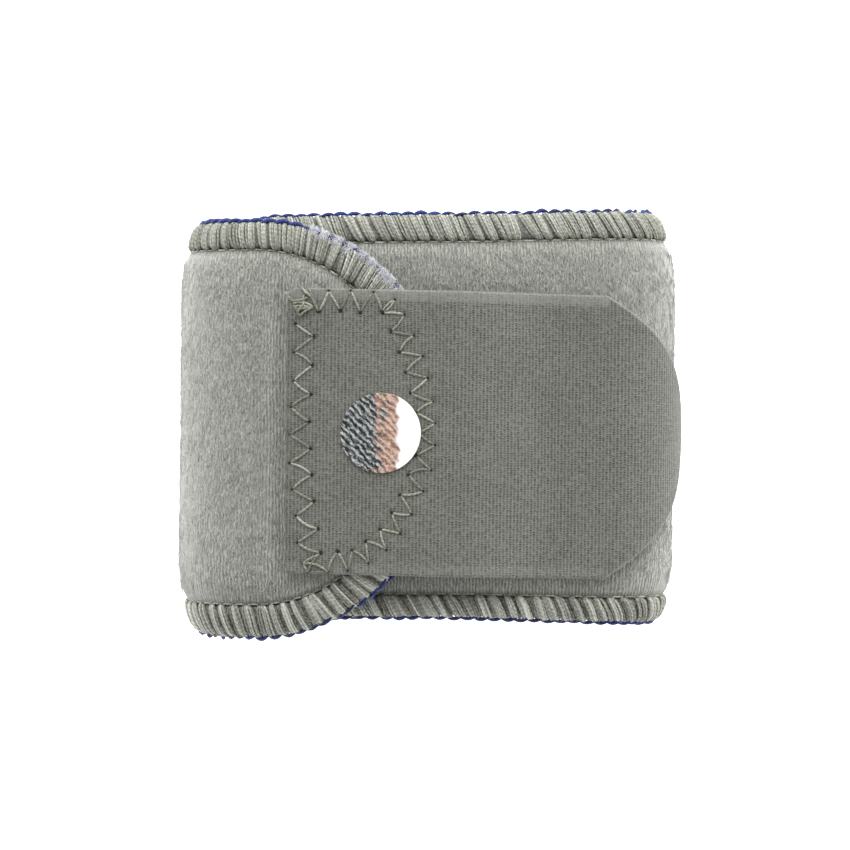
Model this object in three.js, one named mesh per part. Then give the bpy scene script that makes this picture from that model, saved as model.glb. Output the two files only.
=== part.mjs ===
// Soft wrist support: one strip of foam laminate wrapped into a flat loop that lies on its back.
// The strip's outer end is a rounded flap on top, and a hook tape strap sewn on the flap closes the loop.
// Millimetres, +Z up. X runs across the loop, Y along the forearm, and the hollow is open at both Y ends.
import * as THREE from "three";

// Loop, seen along the forearm
const loopWidth = 88.5; // outside, side to side
const rightBendRadius = 13.8; // outside
const leftBendRadius = 15.9; // outside, larger because the flap lies over the under end
const crownRadius = 220; // of the under layer's middle, where the top wall arches
const laminateThickness = 4.3;
const layerGap = 0.35; // between the flap and the under layer
const loopLean = 0.011; // how far the whole loop leans to the right per mm of Y

// Strip, unrolled
const stripWidth = 73.5;
const flapTipOffset = 3.7; // the flap's tip, right of the loop's middle
const flapReach = 34; // length of the rounded flap end
const underTuck = 6.5; // how far the under end runs down inside the left bend
const underCornerRadius = 9;
const edgeCurl = 2.7; // how far the two long edges draw inwards
const flatHalfWidth = 24; // half the width that stays uncurled
const curlPower = 1.8;
const curlStart = -0.3; // upward part of the wall's outward direction, below which its own weight presses it flat

// Overlocked edge that cases the strip all round
const overlockWidth = 4.8;
const overlockThickness = 4.3;
const overlockWall = 0.65;
const edgeClearance = 0.3; // between the strip's thinned rim and its casing
const shoulderLength = 2.9; // over which the laminate swells from the casing to full thickness

// Hook tape strap
const strapWidth = 50;
const strapThickness = 1.4;
const strapSeat = 28; // sewn stretch on the flap, back from the flap's tip
const strapStraight = 56.8; // length of the strap before its rounded end
const strapEndLength = 20;
const strapTipDrift = 0.8; // how far the rounded end's tip lies off the strap's middle
const strapCorner = 1.6; // small rounding at the sewn end's corners
const strapOverhang = 1.2; // stays level past the flap's tip
const strapStepRun = 19; // length over which it comes down to the under layer
const strapOffset = -0.95; // of its middle at the sewn end, along Y
const strapSkew = 1.25; // degrees, clockwise seen from above
const strapGap = 0.3; // above the laminate

// Round foil seal on the strap
const sealDiameter = 14;
const sealThickness = 0.25;
const sealGap = 0.12;
const sealSetback = 11.4; // of its middle, back from the flap's tip
const sealOffset = -1.4; // of its middle, along Y

// Facets
const bendSteps = 14;
const levelSteps = 5;
const tuckSteps = 3;
const flapSteps = 12;
const cornerSteps = 4;
const bandColumns = 9;
const strapColumns = 7;
const strapStationLength = 3.2;
const sealSides = 36;

// Where the strip's middle and edges run: shares of the strip's length, its width and the overlock's width
const stripSections = [
  { along: 0.0, centre: 0.022, width: 0.965, upperEdge: 1.0, lowerEdge: 0.82 },
  { along: 0.16, centre: 0.023, width: 0.972, upperEdge: 1.0, lowerEdge: 0.82 },
  { along: 0.32, centre: 0.02, width: 0.996, upperEdge: 1.0, lowerEdge: 0.9 },
  { along: 0.5, centre: 0.0198, width: 0.9695, upperEdge: 1.0, lowerEdge: 0.95 },
  { along: 0.68, centre: 0.0055, width: 0.975, upperEdge: 0.98, lowerEdge: 1.06 },
  { along: 0.84, centre: -0.011, width: 1.0, upperEdge: 1.0, lowerEdge: 1.18 },
  { along: 1.0, centre: -0.011, width: 1.0, upperEdge: 1.14, lowerEdge: 1.14 },
];

// Half thickness of the laminate, from its rim inside the casing to the full wall.
// past is a share of the shoulder beyond the casing's lip, height a share of the swelling.
const shoulderRows = [
  { past: 0.0, height: 0.0 },
  { past: 0.13, height: 0.55 },
  { past: 0.5, height: 0.88 },
  { past: 1.0, height: 1.0 },
];

// Outside of the casing's section: in is a share of its width from the crest, up one of half its thickness
const casingOutline = [
  { in: 1.0, up: 0.86 },
  { in: 0.74, up: 1.0 },
  { in: 0.4, up: 0.97 },
  { in: 0.14, up: 0.72 },
  { in: 0.0, up: 0.24 },
];

const halfLaminate = laminateThickness / 2;
const channelHalf = overlockThickness / 2 - overlockWall;
const rimHalf = channelHalf - edgeClearance;
const channelDepthStart = overlockWall + 0.5;
const rimStart = channelDepthStart + edgeClearance;

// The top wall's two layers are concentric arcs, and each bend touches its own layer's arc.
function crownCentre(right, left) {
  const rightReach = crownRadius - right.radius;
  const leftReach = crownRadius + laminateThickness + layerGap - left.radius;
  const across = new THREE.Vector2().subVectors(left.centre, right.centre);
  const gap = across.length();
  const along = (rightReach ** 2 - leftReach ** 2 + gap ** 2) / (2 * gap);
  const below = Math.sqrt(rightReach ** 2 - along ** 2);
  const way = across.normalize();
  return new THREE.Vector2(
    right.centre.x + way.x * along - way.y * below,
    right.centre.y + way.y * along + way.x * below,
  );
}

// A heading of 0 points up and grows clockwise, so the strip's path runs clockwise round the loop.
const headingFrom = (centre, point) =>
  Math.atan2(point.x - centre.x, point.y - centre.y);

function arcStretch(centre, radius, from, to, steps) {
  return {
    length: radius * (to - from),
    steps,
    at(distance) {
      const heading = from + distance / radius;
      const out = new THREE.Vector2(Math.sin(heading), Math.cos(heading));
      return { point: centre.clone().addScaledVector(out, radius), out };
    },
  };
}

function levelStretch(from, to, out, steps) {
  const length = from.distanceTo(to);
  return {
    length,
    steps,
    at: (distance) => ({ point: from.clone().lerp(to, distance / length), out }),
  };
}

function pathOf(stretches) {
  const length = stretches.reduce((sum, stretch) => sum + stretch.length, 0);
  const at = (distance) => {
    let left = distance;
    for (const stretch of stretches.slice(0, -1)) {
      if (left <= stretch.length) return stretch.at(left);
      left -= stretch.length;
    }
    return stretches.at(-1).at(left);
  };
  return { length, at, stretches };
}

const rightBend = {
  radius: rightBendRadius - halfLaminate,
  centre: new THREE.Vector2(loopWidth / 2 - rightBendRadius, rightBendRadius),
};
const leftBend = {
  radius: leftBendRadius - halfLaminate,
  centre: new THREE.Vector2(leftBendRadius - loopWidth / 2, leftBendRadius),
};
const crown = crownCentre(rightBend, leftBend);
const underRadius = crownRadius;
const flapRadius = crownRadius + laminateThickness + layerGap;
const tuckRadius = leftBend.radius - laminateThickness - layerGap;
const rightHeading = headingFrom(crown, rightBend.centre);
const leftHeading = headingFrom(crown, leftBend.centre);
const flapTipHeading = Math.asin((flapTipOffset - crown.x) / flapRadius);

const stripPath = pathOf([
  arcStretch(leftBend.centre, tuckRadius, leftHeading - underTuck / tuckRadius, leftHeading, tuckSteps),
  arcStretch(crown, underRadius, leftHeading, rightHeading, levelSteps),
  arcStretch(rightBend.centre, rightBend.radius, rightHeading, Math.PI, bendSteps),
  levelStretch(
    new THREE.Vector2(rightBend.centre.x, halfLaminate),
    new THREE.Vector2(leftBend.centre.x, halfLaminate),
    new THREE.Vector2(0, -1),
    levelSteps,
  ),
  arcStretch(leftBend.centre, leftBend.radius, Math.PI, 2 * Math.PI + leftHeading, bendSteps),
  arcStretch(crown, flapRadius, leftHeading, flapTipHeading, levelSteps),
]);

// How far the wall draws inwards at this Y, the same for both layers on top so that they never meet.
function curlAt(y) {
  const past = Math.max(0, Math.abs(y) - flatHalfWidth) / (stripWidth / 2 - flatHalfWidth);
  return edgeCurl * past ** curlPower;
}

// A point of the unrolled strip, at a height over the laminate's middle, in the loop.
function wrapStrip(along, y, height) {
  const { point, out } = stripPath.at(along);
  const lift = height - curlAt(y) * THREE.MathUtils.smoothstep(out.y, -1, curlStart);
  return new THREE.Vector3(point.x + out.x * lift + loopLean * y, y, point.y + out.y * lift);
}

function stripSectionAt(along) {
  const share = THREE.MathUtils.clamp(along / stripPath.length, 0, 1);
  const next = Math.max(1, stripSections.findIndex((section) => section.along >= share));
  const [a, b] = [stripSections[next - 1], stripSections[next]];
  const blend = THREE.MathUtils.smoothstep(share, a.along, b.along);
  const mix = (column) => THREE.MathUtils.lerp(a[column], b[column], blend);
  const middle = mix("centre") * stripWidth;
  const half = (mix("width") * stripWidth) / 2;
  return {
    middle,
    half,
    upper: middle + half,
    lower: middle - half,
    upperEdge: mix("upperEdge") * overlockWidth,
    lowerEdge: mix("lowerEdge") * overlockWidth,
  };
}

// An outline is { upper, lower, start, apex }: matching points of both sides from the square end to the tip,
// the points across the square end from the lower side to the upper, and the tip.
function stripOutline() {
  const outline = { upper: [], lower: [], start: [] };
  const add = (along, drop, rise) => {
    const section = stripSectionAt(along);
    outline.upper.push({ along, y: section.upper - drop - rise * section.half, edge: section.upperEdge });
    outline.lower.push({ along, y: section.lower + drop + rise * section.half, edge: section.lowerEdge });
  };
  for (let i = 0; i <= cornerSteps; i++) {
    const turn = (Math.PI / 2) * (i / cornerSteps);
    add(underCornerRadius * (1 - Math.cos(turn)), underCornerRadius * (1 - Math.sin(turn)), 0);
  }
  const flapStart = stripPath.length - flapReach;
  let begin = 0;
  for (const stretch of stripPath.stretches) {
    for (let i = 1; i <= stretch.steps; i++) {
      const along = begin + (stretch.length * i) / stretch.steps;
      if (along > underCornerRadius + 2 && along < flapStart - 0.5) add(along, 0, 0);
    }
    begin += stretch.length;
  }
  for (let i = 0; i < flapSteps; i++) {
    const turn = (Math.PI / 2) * (i / flapSteps);
    add(flapStart + flapReach * Math.sin(turn), 0, 1 - Math.cos(turn));
  }
  const tip = stripSectionAt(stripPath.length);
  outline.apex = { along: stripPath.length, y: tip.middle, edge: (tip.upperEdge + tip.lowerEdge) / 2 };
  const [upper, lower] = [outline.upper[0], outline.lower[0]];
  for (let i = 1; i < bandColumns - 1; i++) {
    const share = i / (bandColumns - 1);
    outline.start.push({
      along: 0,
      y: THREE.MathUtils.lerp(lower.y, upper.y, share),
      edge: THREE.MathUtils.lerp(lower.edge, upper.edge, share),
    });
  }
  return outline;
}

// The outline's points once round, each with its normal pointing into the sheet.
function roundOf(outline) {
  const points = [...outline.upper, outline.apex, ...[...outline.lower].reverse(), ...outline.start];
  return points.map((point, i) => {
    const before = points.at(i - 1);
    const after = points[(i + 1) % points.length];
    const way = new THREE.Vector2(after.along - before.along, after.y - before.y).normalize();
    return { ...point, into: new THREE.Vector2(way.y, -way.x) };
  });
}

// A closed sheet over an outline. Its rings run round the outline, each at its distance in and half
// thickness, and its rows cross the middle between the last ring's two sides.
function sheetGeometry(outline, columns, rings, place) {
  const round = roundOf(outline);
  const count = round.length;
  const side = outline.upper.length;
  const positions = [];
  const indices = [];
  const face = (...corners) => indices.push(...corners);
  const addPair = (along, y, half) => {
    positions.push(...place(along, y, half).toArray(), ...place(along, y, -half).toArray());
    return positions.length / 3 - 2;
  };
  // A pair's first number is its top vertex, and the next one its bottom vertex.
  const quad = (a, b, c, d) => {
    face(a, b, c);
    face(a, c, d);
    face(a + 1, c + 1, b + 1);
    face(a + 1, d + 1, c + 1);
  };
  const pairs = rings.map((ring) =>
    round.map((point) => {
      const { distance, half } = ring(point);
      const { along, y } = point;
      return addPair(along + point.into.x * distance, y + point.into.y * distance, half);
    }),
  );
  for (let i = 0; i < count; i++) {
    const j = (i + 1) % count;
    face(pairs[0][i], pairs[0][j] + 1, pairs[0][i] + 1);
    face(pairs[0][i], pairs[0][j], pairs[0][j] + 1);
    for (let k = 1; k < pairs.length; k++) quad(pairs[k - 1][i], pairs[k][i], pairs[k][j], pairs[k - 1][j]);
  }
  const inner = pairs.at(-1);
  const spot = (i) => {
    const { distance, half } = rings.at(-1)(round[i]);
    const { along, y, into } = round[i];
    return { along: along + into.x * distance, y: y + into.y * distance, half };
  };
  const rows = [];
  for (let i = 0; i < side; i++) {
    const lower = count - outline.start.length - 1 - i;
    const [a, b] = [spot(lower), spot(i)];
    const row = [inner[lower]];
    for (let c = 1; c < columns - 1; c++) {
      const share = c / (columns - 1);
      const mix = (key) => THREE.MathUtils.lerp(a[key], b[key], share);
      if (i === 0) row.push(inner[count - outline.start.length - 1 + c]);
      else row.push(addPair(mix("along"), mix("y"), mix("half")));
    }
    row.push(inner[i]);
    rows.push(row);
  }
  for (let i = 1; i < rows.length; i++)
    for (let c = 1; c < columns; c++) quad(rows[i - 1][c - 1], rows[i][c - 1], rows[i][c], rows[i - 1][c]);
  const tip = inner[side];
  for (let c = 1; c < columns; c++) {
    const [a, b] = [rows.at(-1)[c - 1], rows.at(-1)[c]];
    face(a, tip, b);
    face(a + 1, b + 1, tip + 1);
  }
  return indexedGeometry(positions, indices);
}

function indexedGeometry(positions, indices) {
  const geometry = new THREE.BufferGeometry();
  geometry.setAttribute("position", new THREE.Float32BufferAttribute(positions, 3));
  geometry.setIndex(indices);
  geometry.computeVertexNormals();
  return geometry;
}

function bandGeometry(outline) {
  const rim = () => ({ distance: rimStart, half: rimHalf });
  const shoulders = shoulderRows.map(({ past, height }) => (point) => ({
    distance: point.edge + edgeClearance + past * shoulderLength,
    half: THREE.MathUtils.lerp(rimHalf, halfLaminate, height),
  }));
  return sheetGeometry(outline, bandColumns, [rim, ...shoulders], wrapStrip);
}

// The casing is a channel section carried round the outline, open towards the strip.
function overlockGeometry(outline) {
  const half = overlockThickness / 2;
  const outside = casingOutline.map((corner) => ({ in: corner.in, up: corner.up * half }));
  const mirrored = [...outside].reverse().map((corner) => ({ in: corner.in, up: -corner.up }));
  const sectionFor = (width) => [
    ...[...outside, ...mirrored].map((corner) => ({ distance: corner.in * width, up: corner.up })),
    { distance: width, up: -channelHalf },
    { distance: channelDepthStart, up: -channelHalf },
    { distance: channelDepthStart, up: channelHalf },
    { distance: width, up: channelHalf },
  ];
  const round = roundOf(outline);
  const corners = sectionFor(overlockWidth).length;
  const positions = [];
  const indices = [];
  for (const point of round)
    for (const corner of sectionFor(point.edge)) {
      const along = point.along + point.into.x * corner.distance;
      const y = point.y + point.into.y * corner.distance;
      positions.push(...wrapStrip(along, y, corner.up).toArray());
    }
  for (let i = 0; i < round.length; i++)
    for (let c = 0; c < corners; c++) {
      const j = (i + 1) % round.length;
      const d = (c + 1) % corners;
      const [a, b, e, f] = [i * corners + c, j * corners + c, j * corners + d, i * corners + d];
      indices.push(a, b, e, a, e, f);
    }
  return indexedGeometry(positions, indices);
}

// The strap lies level on the flap, comes down past the flap's tip, and follows the under layer and
// the right bend.
const strapLift = halfLaminate + strapGap + strapThickness / 2;
const strapStartHeading = flapTipHeading - strapSeat / flapRadius;

function strapMiddleAt(along) {
  const levelRadius = flapRadius + strapLift;
  const lowRadius = underRadius + strapLift;
  const heading = strapStartHeading + along / levelRadius;
  const bendStart = (rightHeading - strapStartHeading) * levelRadius;
  if (along > bendStart) {
    const turn = rightHeading + (along - bendStart) / (rightBend.radius + strapLift);
    const out = new THREE.Vector2(Math.sin(turn), Math.cos(turn));
    return rightBend.centre.clone().addScaledVector(out, rightBend.radius + strapLift);
  }
  const stepStart = strapSeat + strapOverhang;
  const down = THREE.MathUtils.smoothstep(along, stepStart, stepStart + strapStepRun);
  const radius = THREE.MathUtils.lerp(levelRadius, lowRadius, down);
  return new THREE.Vector2(Math.sin(heading), Math.cos(heading)).multiplyScalar(radius).add(crown);
}

// The strap's own length and width run skewed across the loop.
const strapDrift = (along) => along * Math.tan(THREE.MathUtils.degToRad(strapSkew));

function wrapStrap(along, across, height) {
  const probe = 0.05;
  const way = strapMiddleAt(along + probe).sub(strapMiddleAt(along - probe)).normalize();
  const middle = strapMiddleAt(along);
  const y = strapOffset + across - strapDrift(along);
  return new THREE.Vector3(middle.x - way.y * height + loopLean * y, y, middle.y + way.x * height);
}

function strapOutline() {
  const half = strapWidth / 2;
  const outline = { upper: [], lower: [], start: [] };
  const add = (along, y, drift = 0) => {
    outline.upper.push({ along, y: y + drift });
    outline.lower.push({ along, y: drift - y });
  };
  add(0, half - strapCorner);
  add(strapCorner * (1 - Math.SQRT1_2), half - strapCorner * (1 - Math.SQRT1_2));
  const stations = Math.round((strapStraight - strapCorner) / strapStationLength);
  for (let i = 0; i <= stations; i++)
    add(THREE.MathUtils.lerp(strapCorner, strapStraight, i / stations), half);
  const tipSteps = Math.round(strapWidth / 5);
  for (let i = 1; i < tipSteps; i++) {
    const share = 1 - i / tipSteps;
    const out = 1 - share ** 2;
    add(strapStraight + strapEndLength * out, half * share, strapTipDrift * out);
  }
  outline.apex = { along: strapStraight + strapEndLength, y: strapTipDrift };
  for (let i = 1; i < strapColumns - 1; i++)
    outline.start.push({ along: 0, y: (half - strapCorner) * ((2 * i) / (strapColumns - 1) - 1) });
  return outline;
}

function strapGeometry() {
  const edge = () => ({ distance: 0, half: strapThickness / 2 });
  return sheetGeometry(strapOutline(), strapColumns, [edge], wrapStrap);
}

// A thin disc bent to the strap's level stretch.
function sealGeometry() {
  const geometry = new THREE.CylinderGeometry(sealDiameter / 2, sealDiameter / 2, sealThickness, sealSides);
  const spots = geometry.getAttribute("position");
  const lift = strapThickness / 2 + sealGap + sealThickness / 2;
  for (let i = 0; i < spots.count; i++) {
    const along = strapSeat - sealSetback + spots.getX(i);
    const across = sealOffset - strapOffset - spots.getZ(i) + strapDrift(along);
    const placed = wrapStrap(along, across, lift + spots.getY(i));
    spots.setXYZ(i, placed.x, placed.y, placed.z);
  }
  geometry.computeVertexNormals();
  return geometry;
}

function meshOf(name, geometry, color, roughness, metalness) {
  const material = new THREE.MeshStandardMaterial({ color, roughness, metalness, side: THREE.DoubleSide });
  const mesh = new THREE.Mesh(geometry, material);
  mesh.name = name;
  return mesh;
}

const outline = stripOutline();
const support = new THREE.Group();
support.add(
  meshOf("foam_band", bandGeometry(outline), 0x95968f, 0.95, 0),
  meshOf("overlock_edge", overlockGeometry(outline), 0x8b8d7d, 0.9, 0),
  meshOf("hook_strap", strapGeometry(), 0x7c7d77, 0.8, 0),
  meshOf("foil_seal", sealGeometry(), 0xb9b4ad, 0.25, 0.9),
);

// The origin is under the middle of the whole part.
const bounds = new THREE.Box3().setFromObject(support, true);
const middle = bounds.getCenter(new THREE.Vector3());
support.position.set(-middle.x, -middle.y, -bounds.min.z);

export default support;
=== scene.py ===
import math
import bpy
import numpy as np
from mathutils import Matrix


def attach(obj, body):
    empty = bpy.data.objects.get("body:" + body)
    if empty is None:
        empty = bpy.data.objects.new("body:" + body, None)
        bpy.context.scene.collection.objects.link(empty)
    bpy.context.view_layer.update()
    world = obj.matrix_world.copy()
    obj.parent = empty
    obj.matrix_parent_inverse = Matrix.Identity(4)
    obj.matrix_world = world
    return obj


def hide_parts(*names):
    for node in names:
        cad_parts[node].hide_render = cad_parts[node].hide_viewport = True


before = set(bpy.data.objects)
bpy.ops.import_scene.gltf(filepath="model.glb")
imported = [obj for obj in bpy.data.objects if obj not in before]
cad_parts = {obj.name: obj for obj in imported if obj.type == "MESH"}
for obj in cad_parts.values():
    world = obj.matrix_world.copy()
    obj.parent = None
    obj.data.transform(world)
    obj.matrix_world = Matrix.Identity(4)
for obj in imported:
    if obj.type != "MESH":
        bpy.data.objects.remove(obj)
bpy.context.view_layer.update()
bpy.ops.object.select_all(action="DESELECT")
mm = 0.001
randomDraw = np.random.default_rng(11)
print("frame loaded:", sorted(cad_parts))

# Lengths are in millimetres up to the point where a mesh is written, and in metres there.


def linear(hexColor):  # sRGB hex to linear
    values = [int(hexColor[i:i + 2], 16) / 255 for i in (1, 3, 5)]
    return tuple(v / 12.92 if v <= 0.04045 else ((v + 0.055) / 1.055) ** 2.4 for v in values) + (1.0,)


def addNode(tree, kind, inputs=None, out=0, stops=(), **settings):
    # one node with its settings, its values and links by socket, and a ramp's stops; gives one of its outputs
    node = tree.nodes.new("ShaderNode" + kind)
    for key, value in settings.items():
        setattr(node, key, value)
    for index, (place, color) in enumerate(stops):
        element = node.color_ramp.elements[index] if index < 2 else node.color_ramp.elements.new(place)
        element.position, element.color = place, linear(color)
    for key, value in (inputs or {}).items():
        if isinstance(value, bpy.types.NodeSocket):
            tree.links.new(value, node.inputs[key])
        else:
            node.inputs[key].default_value = value
    return node.outputs[out]


def startMaterial(name, **shader):
    material = bpy.data.materials.new(name)
    material.use_nodes = True
    tree = material.node_tree
    bsdf = tree.nodes["Principled BSDF"]
    for key, value in shader.items():
        bsdf.inputs[key.replace("_", " ")].default_value = value
    return material, tree, bsdf


def finishMaterial(tree, bsdf, color, height, depth):  # colour, and bump of that depth in mm
    tree.links.new(color, bsdf.inputs["Base Color"])
    normal = addNode(tree, "Bump", {"Height": height, "Distance": depth * mm, "Strength": 0.9})
    tree.links.new(normal, bsdf.inputs["Normal"])


def halfWave(tree, turn):  # a sine between 0 and 1
    sine = addNode(tree, "Math", {0: turn}, operation="SINE")
    return addNode(tree, "Math", {0: sine, 1: 0.5, 2: 0.5}, operation="MULTIPLY_ADD")


loopShape = {
    "width": 88.5, "rightRadius": 13.8, "leftRadius": 15.9,  # outside
    "crownRadius": 220.0, "thickness": 4.3, "layerGap": 0.35,
    "tuck": 6.5, "flapTip": 3.7, "flapReach": 34.0, "cornerRadius": 9.0,
    "stripWidth": 73.5, "edgeWidth": 4.8, "lean": 0.011,
    "curl": 2.7, "flatHalf": 24.0, "curlPower": 1.8, "curlStart": -0.3,
    "origin": (-0.62, -0.257),  # from the path's own origin to the row frame's
}
stripSections = np.array([  # share of length, middle and width in strip widths, upper and lower edge in edge widths
    (0.00, 0.022, 0.965, 1.00, 0.82),
    (0.16, 0.023, 0.972, 1.00, 0.82),
    (0.32, 0.020, 0.996, 1.00, 0.90),
    (0.50, 0.0198, 0.9695, 1.00, 0.95),
    (0.68, 0.0055, 0.975, 0.98, 1.06),
    (0.84, -0.011, 1.000, 1.00, 1.18),
    (1.00, -0.011, 1.000, 1.14, 1.14),
])


def loopPath():
    shape = loopShape
    half = shape["thickness"] / 2
    step = shape["thickness"] + shape["layerGap"]
    right = np.array([shape["width"] / 2 - shape["rightRadius"], shape["rightRadius"]])
    left = np.array([shape["leftRadius"] - shape["width"] / 2, shape["leftRadius"]])
    rightRadius, leftRadius = shape["rightRadius"] - half, shape["leftRadius"] - half
    under, over = shape["crownRadius"], shape["crownRadius"] + step
    gap = np.linalg.norm(left - right)
    way = (left - right) / gap
    along = ((under - rightRadius) ** 2 - (over - leftRadius) ** 2 + gap ** 2) / (2 * gap)
    below = math.sqrt((under - rightRadius) ** 2 - along ** 2)
    crown = right + way * along + np.array([-way[1], way[0]]) * below
    rightTurn = math.atan2(*(right - crown))
    leftTurn = math.atan2(*(left - crown))
    tipTurn = math.asin((shape["flapTip"] - crown[0]) / over)
    tuckRadius = leftRadius - step
    stretches = [  # kind, centre or start, radius, heading, length
        ("arc", left, tuckRadius, leftTurn - shape["tuck"] / tuckRadius, shape["tuck"]),
        ("arc", crown, under, leftTurn, under * (rightTurn - leftTurn)),
        ("arc", right, rightRadius, rightTurn, rightRadius * (math.pi - rightTurn)),
        ("line", np.array([right[0], half]), 0, math.pi, right[0] - left[0]),
        ("arc", left, leftRadius, math.pi, leftRadius * (math.pi + leftTurn)),
        ("arc", crown, over, leftTurn, over * (tipTurn - leftTurn)),
    ]
    return {"stretches": stretches, "length": sum(stretch[4] for stretch in stretches), "crown": crown,
            "under": under, "over": over, "right": right, "rightRadius": rightRadius,
            "rightTurn": rightTurn, "tipTurn": tipTurn}


path = loopPath()
floorStart = sum(stretch[4] for stretch in path["stretches"][:3])
floorEnd = floorStart + path["stretches"][3][4]
print("strip length mm:", round(path["length"], 1))


def pathAt(along):  # middle of the wall and its outward direction, in X and Z
    x, z, outX, outZ = (np.zeros_like(along) for _ in range(4))
    begin = 0
    for index, (kind, start, radius, turn, length) in enumerate(path["stretches"]):
        pick = np.ones(along.shape, bool) if index == 0 else along >= begin
        if kind == "arc":
            heading = turn + (along[pick] - begin) / radius
            outX[pick], outZ[pick] = np.sin(heading), np.cos(heading)
            x[pick], z[pick] = start[0] + radius * np.sin(heading), start[1] + radius * np.cos(heading)
        else:
            outX[pick], outZ[pick] = 0, -1
            x[pick], z[pick] = start[0] - (along[pick] - begin), start[1]
        begin += length
    return x, z, outX, outZ


def placed(x, y, z):  # path coordinates to the row frame, in metres
    originX, originY = loopShape["origin"]
    return np.stack([x + loopShape["lean"] * y + originX, y + originY, z], axis=-1) * mm


def wrapStrip(along, y, height):
    past = np.maximum(0, np.abs(y) - loopShape["flatHalf"]) / (loopShape["stripWidth"] / 2 - loopShape["flatHalf"])
    x, z, outX, outZ = pathAt(along)
    free = np.clip((outZ + 1) / (loopShape["curlStart"] + 1), 0, 1)  # the stretch on the floor is pressed flat
    lift = height - loopShape["curl"] * past ** loopShape["curlPower"] * free * free * (3 - 2 * free)
    return placed(x + outX * lift, y, z + outZ * lift)


def sectionAt(along):  # middle, half width, upper and lower edge width
    share = np.clip(along / path["length"], 0, 1)
    row = np.clip(np.searchsorted(stripSections[:, 0], share), 1, len(stripSections) - 1)
    before, after = stripSections[row - 1], stripSections[row]
    blend = (share - before[..., 0]) / (after[..., 0] - before[..., 0])
    blend = (blend * blend * (3 - 2 * blend))[..., None]
    values = before[..., 1:] * (1 - blend) + after[..., 1:] * blend
    width, edge = loopShape["stripWidth"], loopShape["edgeWidth"]
    return values[..., 0] * width, values[..., 1] * width / 2, values[..., 2] * edge, values[..., 3] * edge


def stripOutline(step, columns):
    corner, reach = loopShape["cornerRadius"], loopShape["flapReach"]
    turn = np.linspace(0, math.pi / 2, max(4, round(corner * 1.6 / step)))
    flapStart = path["length"] - reach
    straight = np.linspace(corner, flapStart, round((flapStart - corner) / step))[1:-1]
    tip = np.linspace(0, math.pi / 2, round(56 / step))[:-1]
    along = np.concatenate([corner * (1 - np.cos(turn)), straight, flapStart + reach * np.sin(tip)])
    drop = np.concatenate([corner * (1 - np.sin(turn)), np.zeros(len(straight) + len(tip))])
    rise = np.concatenate([np.zeros(len(turn) + len(straight)), 1 - np.cos(tip)])
    middle, half, upperEdge, lowerEdge = sectionAt(along)
    upper = np.stack([along, middle + half - drop - rise * half, upperEdge], axis=1)
    lower = np.stack([along, middle - half + drop + rise * half, lowerEdge], axis=1)
    endMiddle, _, endUpper, endLower = (float(v[0]) for v in sectionAt(np.array([path["length"]])))
    apex = np.array([[path["length"], endMiddle, (endUpper + endLower) / 2]])
    share = (np.arange(1, columns - 1) / (columns - 1))[:, None]
    start = lower[0] * (1 - share) + upper[0] * share
    return roundOf(np.concatenate([upper, apex, lower[::-1], start]), len(upper), columns)


def roundOf(points, side, columns):  # an outline's points once round, with normals that point into the sheet
    ahead = np.roll(points[:, :2], -1, axis=0)
    way = ahead - np.roll(points[:, :2], 1, axis=0)
    way /= np.linalg.norm(way, axis=1)[:, None]
    steps = np.linalg.norm(ahead - points[:, :2], axis=1)
    return {"along": points[:, 0], "y": points[:, 1], "edge": points[:, 2],
            "into": np.stack([way[:, 1], -way[:, 0]], axis=1), "run": np.concatenate([[0], np.cumsum(steps)[:-1]]),
            "length": steps.sum(), "side": side, "columns": columns}


def makePiece(name, vertices, faces, materials, uv=None, attributes=None, slots=None):
    mesh = bpy.data.meshes.new(name)
    vertices[:, 2] = np.where(vertices[:, 2] < 0, vertices[:, 2] * 0.05, vertices[:, 2])  # pressed flat by the table
    mesh.from_pydata(vertices.tolist(), [], faces if isinstance(faces, list) else faces.tolist())
    for material in materials:
        mesh.materials.append(material)
    if slots is not None:
        mesh.polygons.foreach_set("material_index", np.asarray(slots, dtype=np.int32))
    mesh.polygons.foreach_set("use_smooth", np.ones(len(mesh.polygons), dtype=bool))
    if uv is not None:
        layer = mesh.uv_layers.new(name="UVMap")
        corners = np.empty(len(mesh.loops), dtype=np.int32)
        mesh.loops.foreach_get("vertex_index", corners)
        layer.data.foreach_set("uv", np.asarray(uv, dtype=np.float32)[corners].ravel())
    for key, values in (attributes or {}).items():
        mesh.attributes.new(key, "FLOAT", "POINT").data.foreach_set("value", np.asarray(values, dtype=np.float32))
    mesh.update()
    piece = bpy.data.objects.new(name, mesh)
    bpy.context.scene.collection.objects.link(piece)
    return piece


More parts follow.
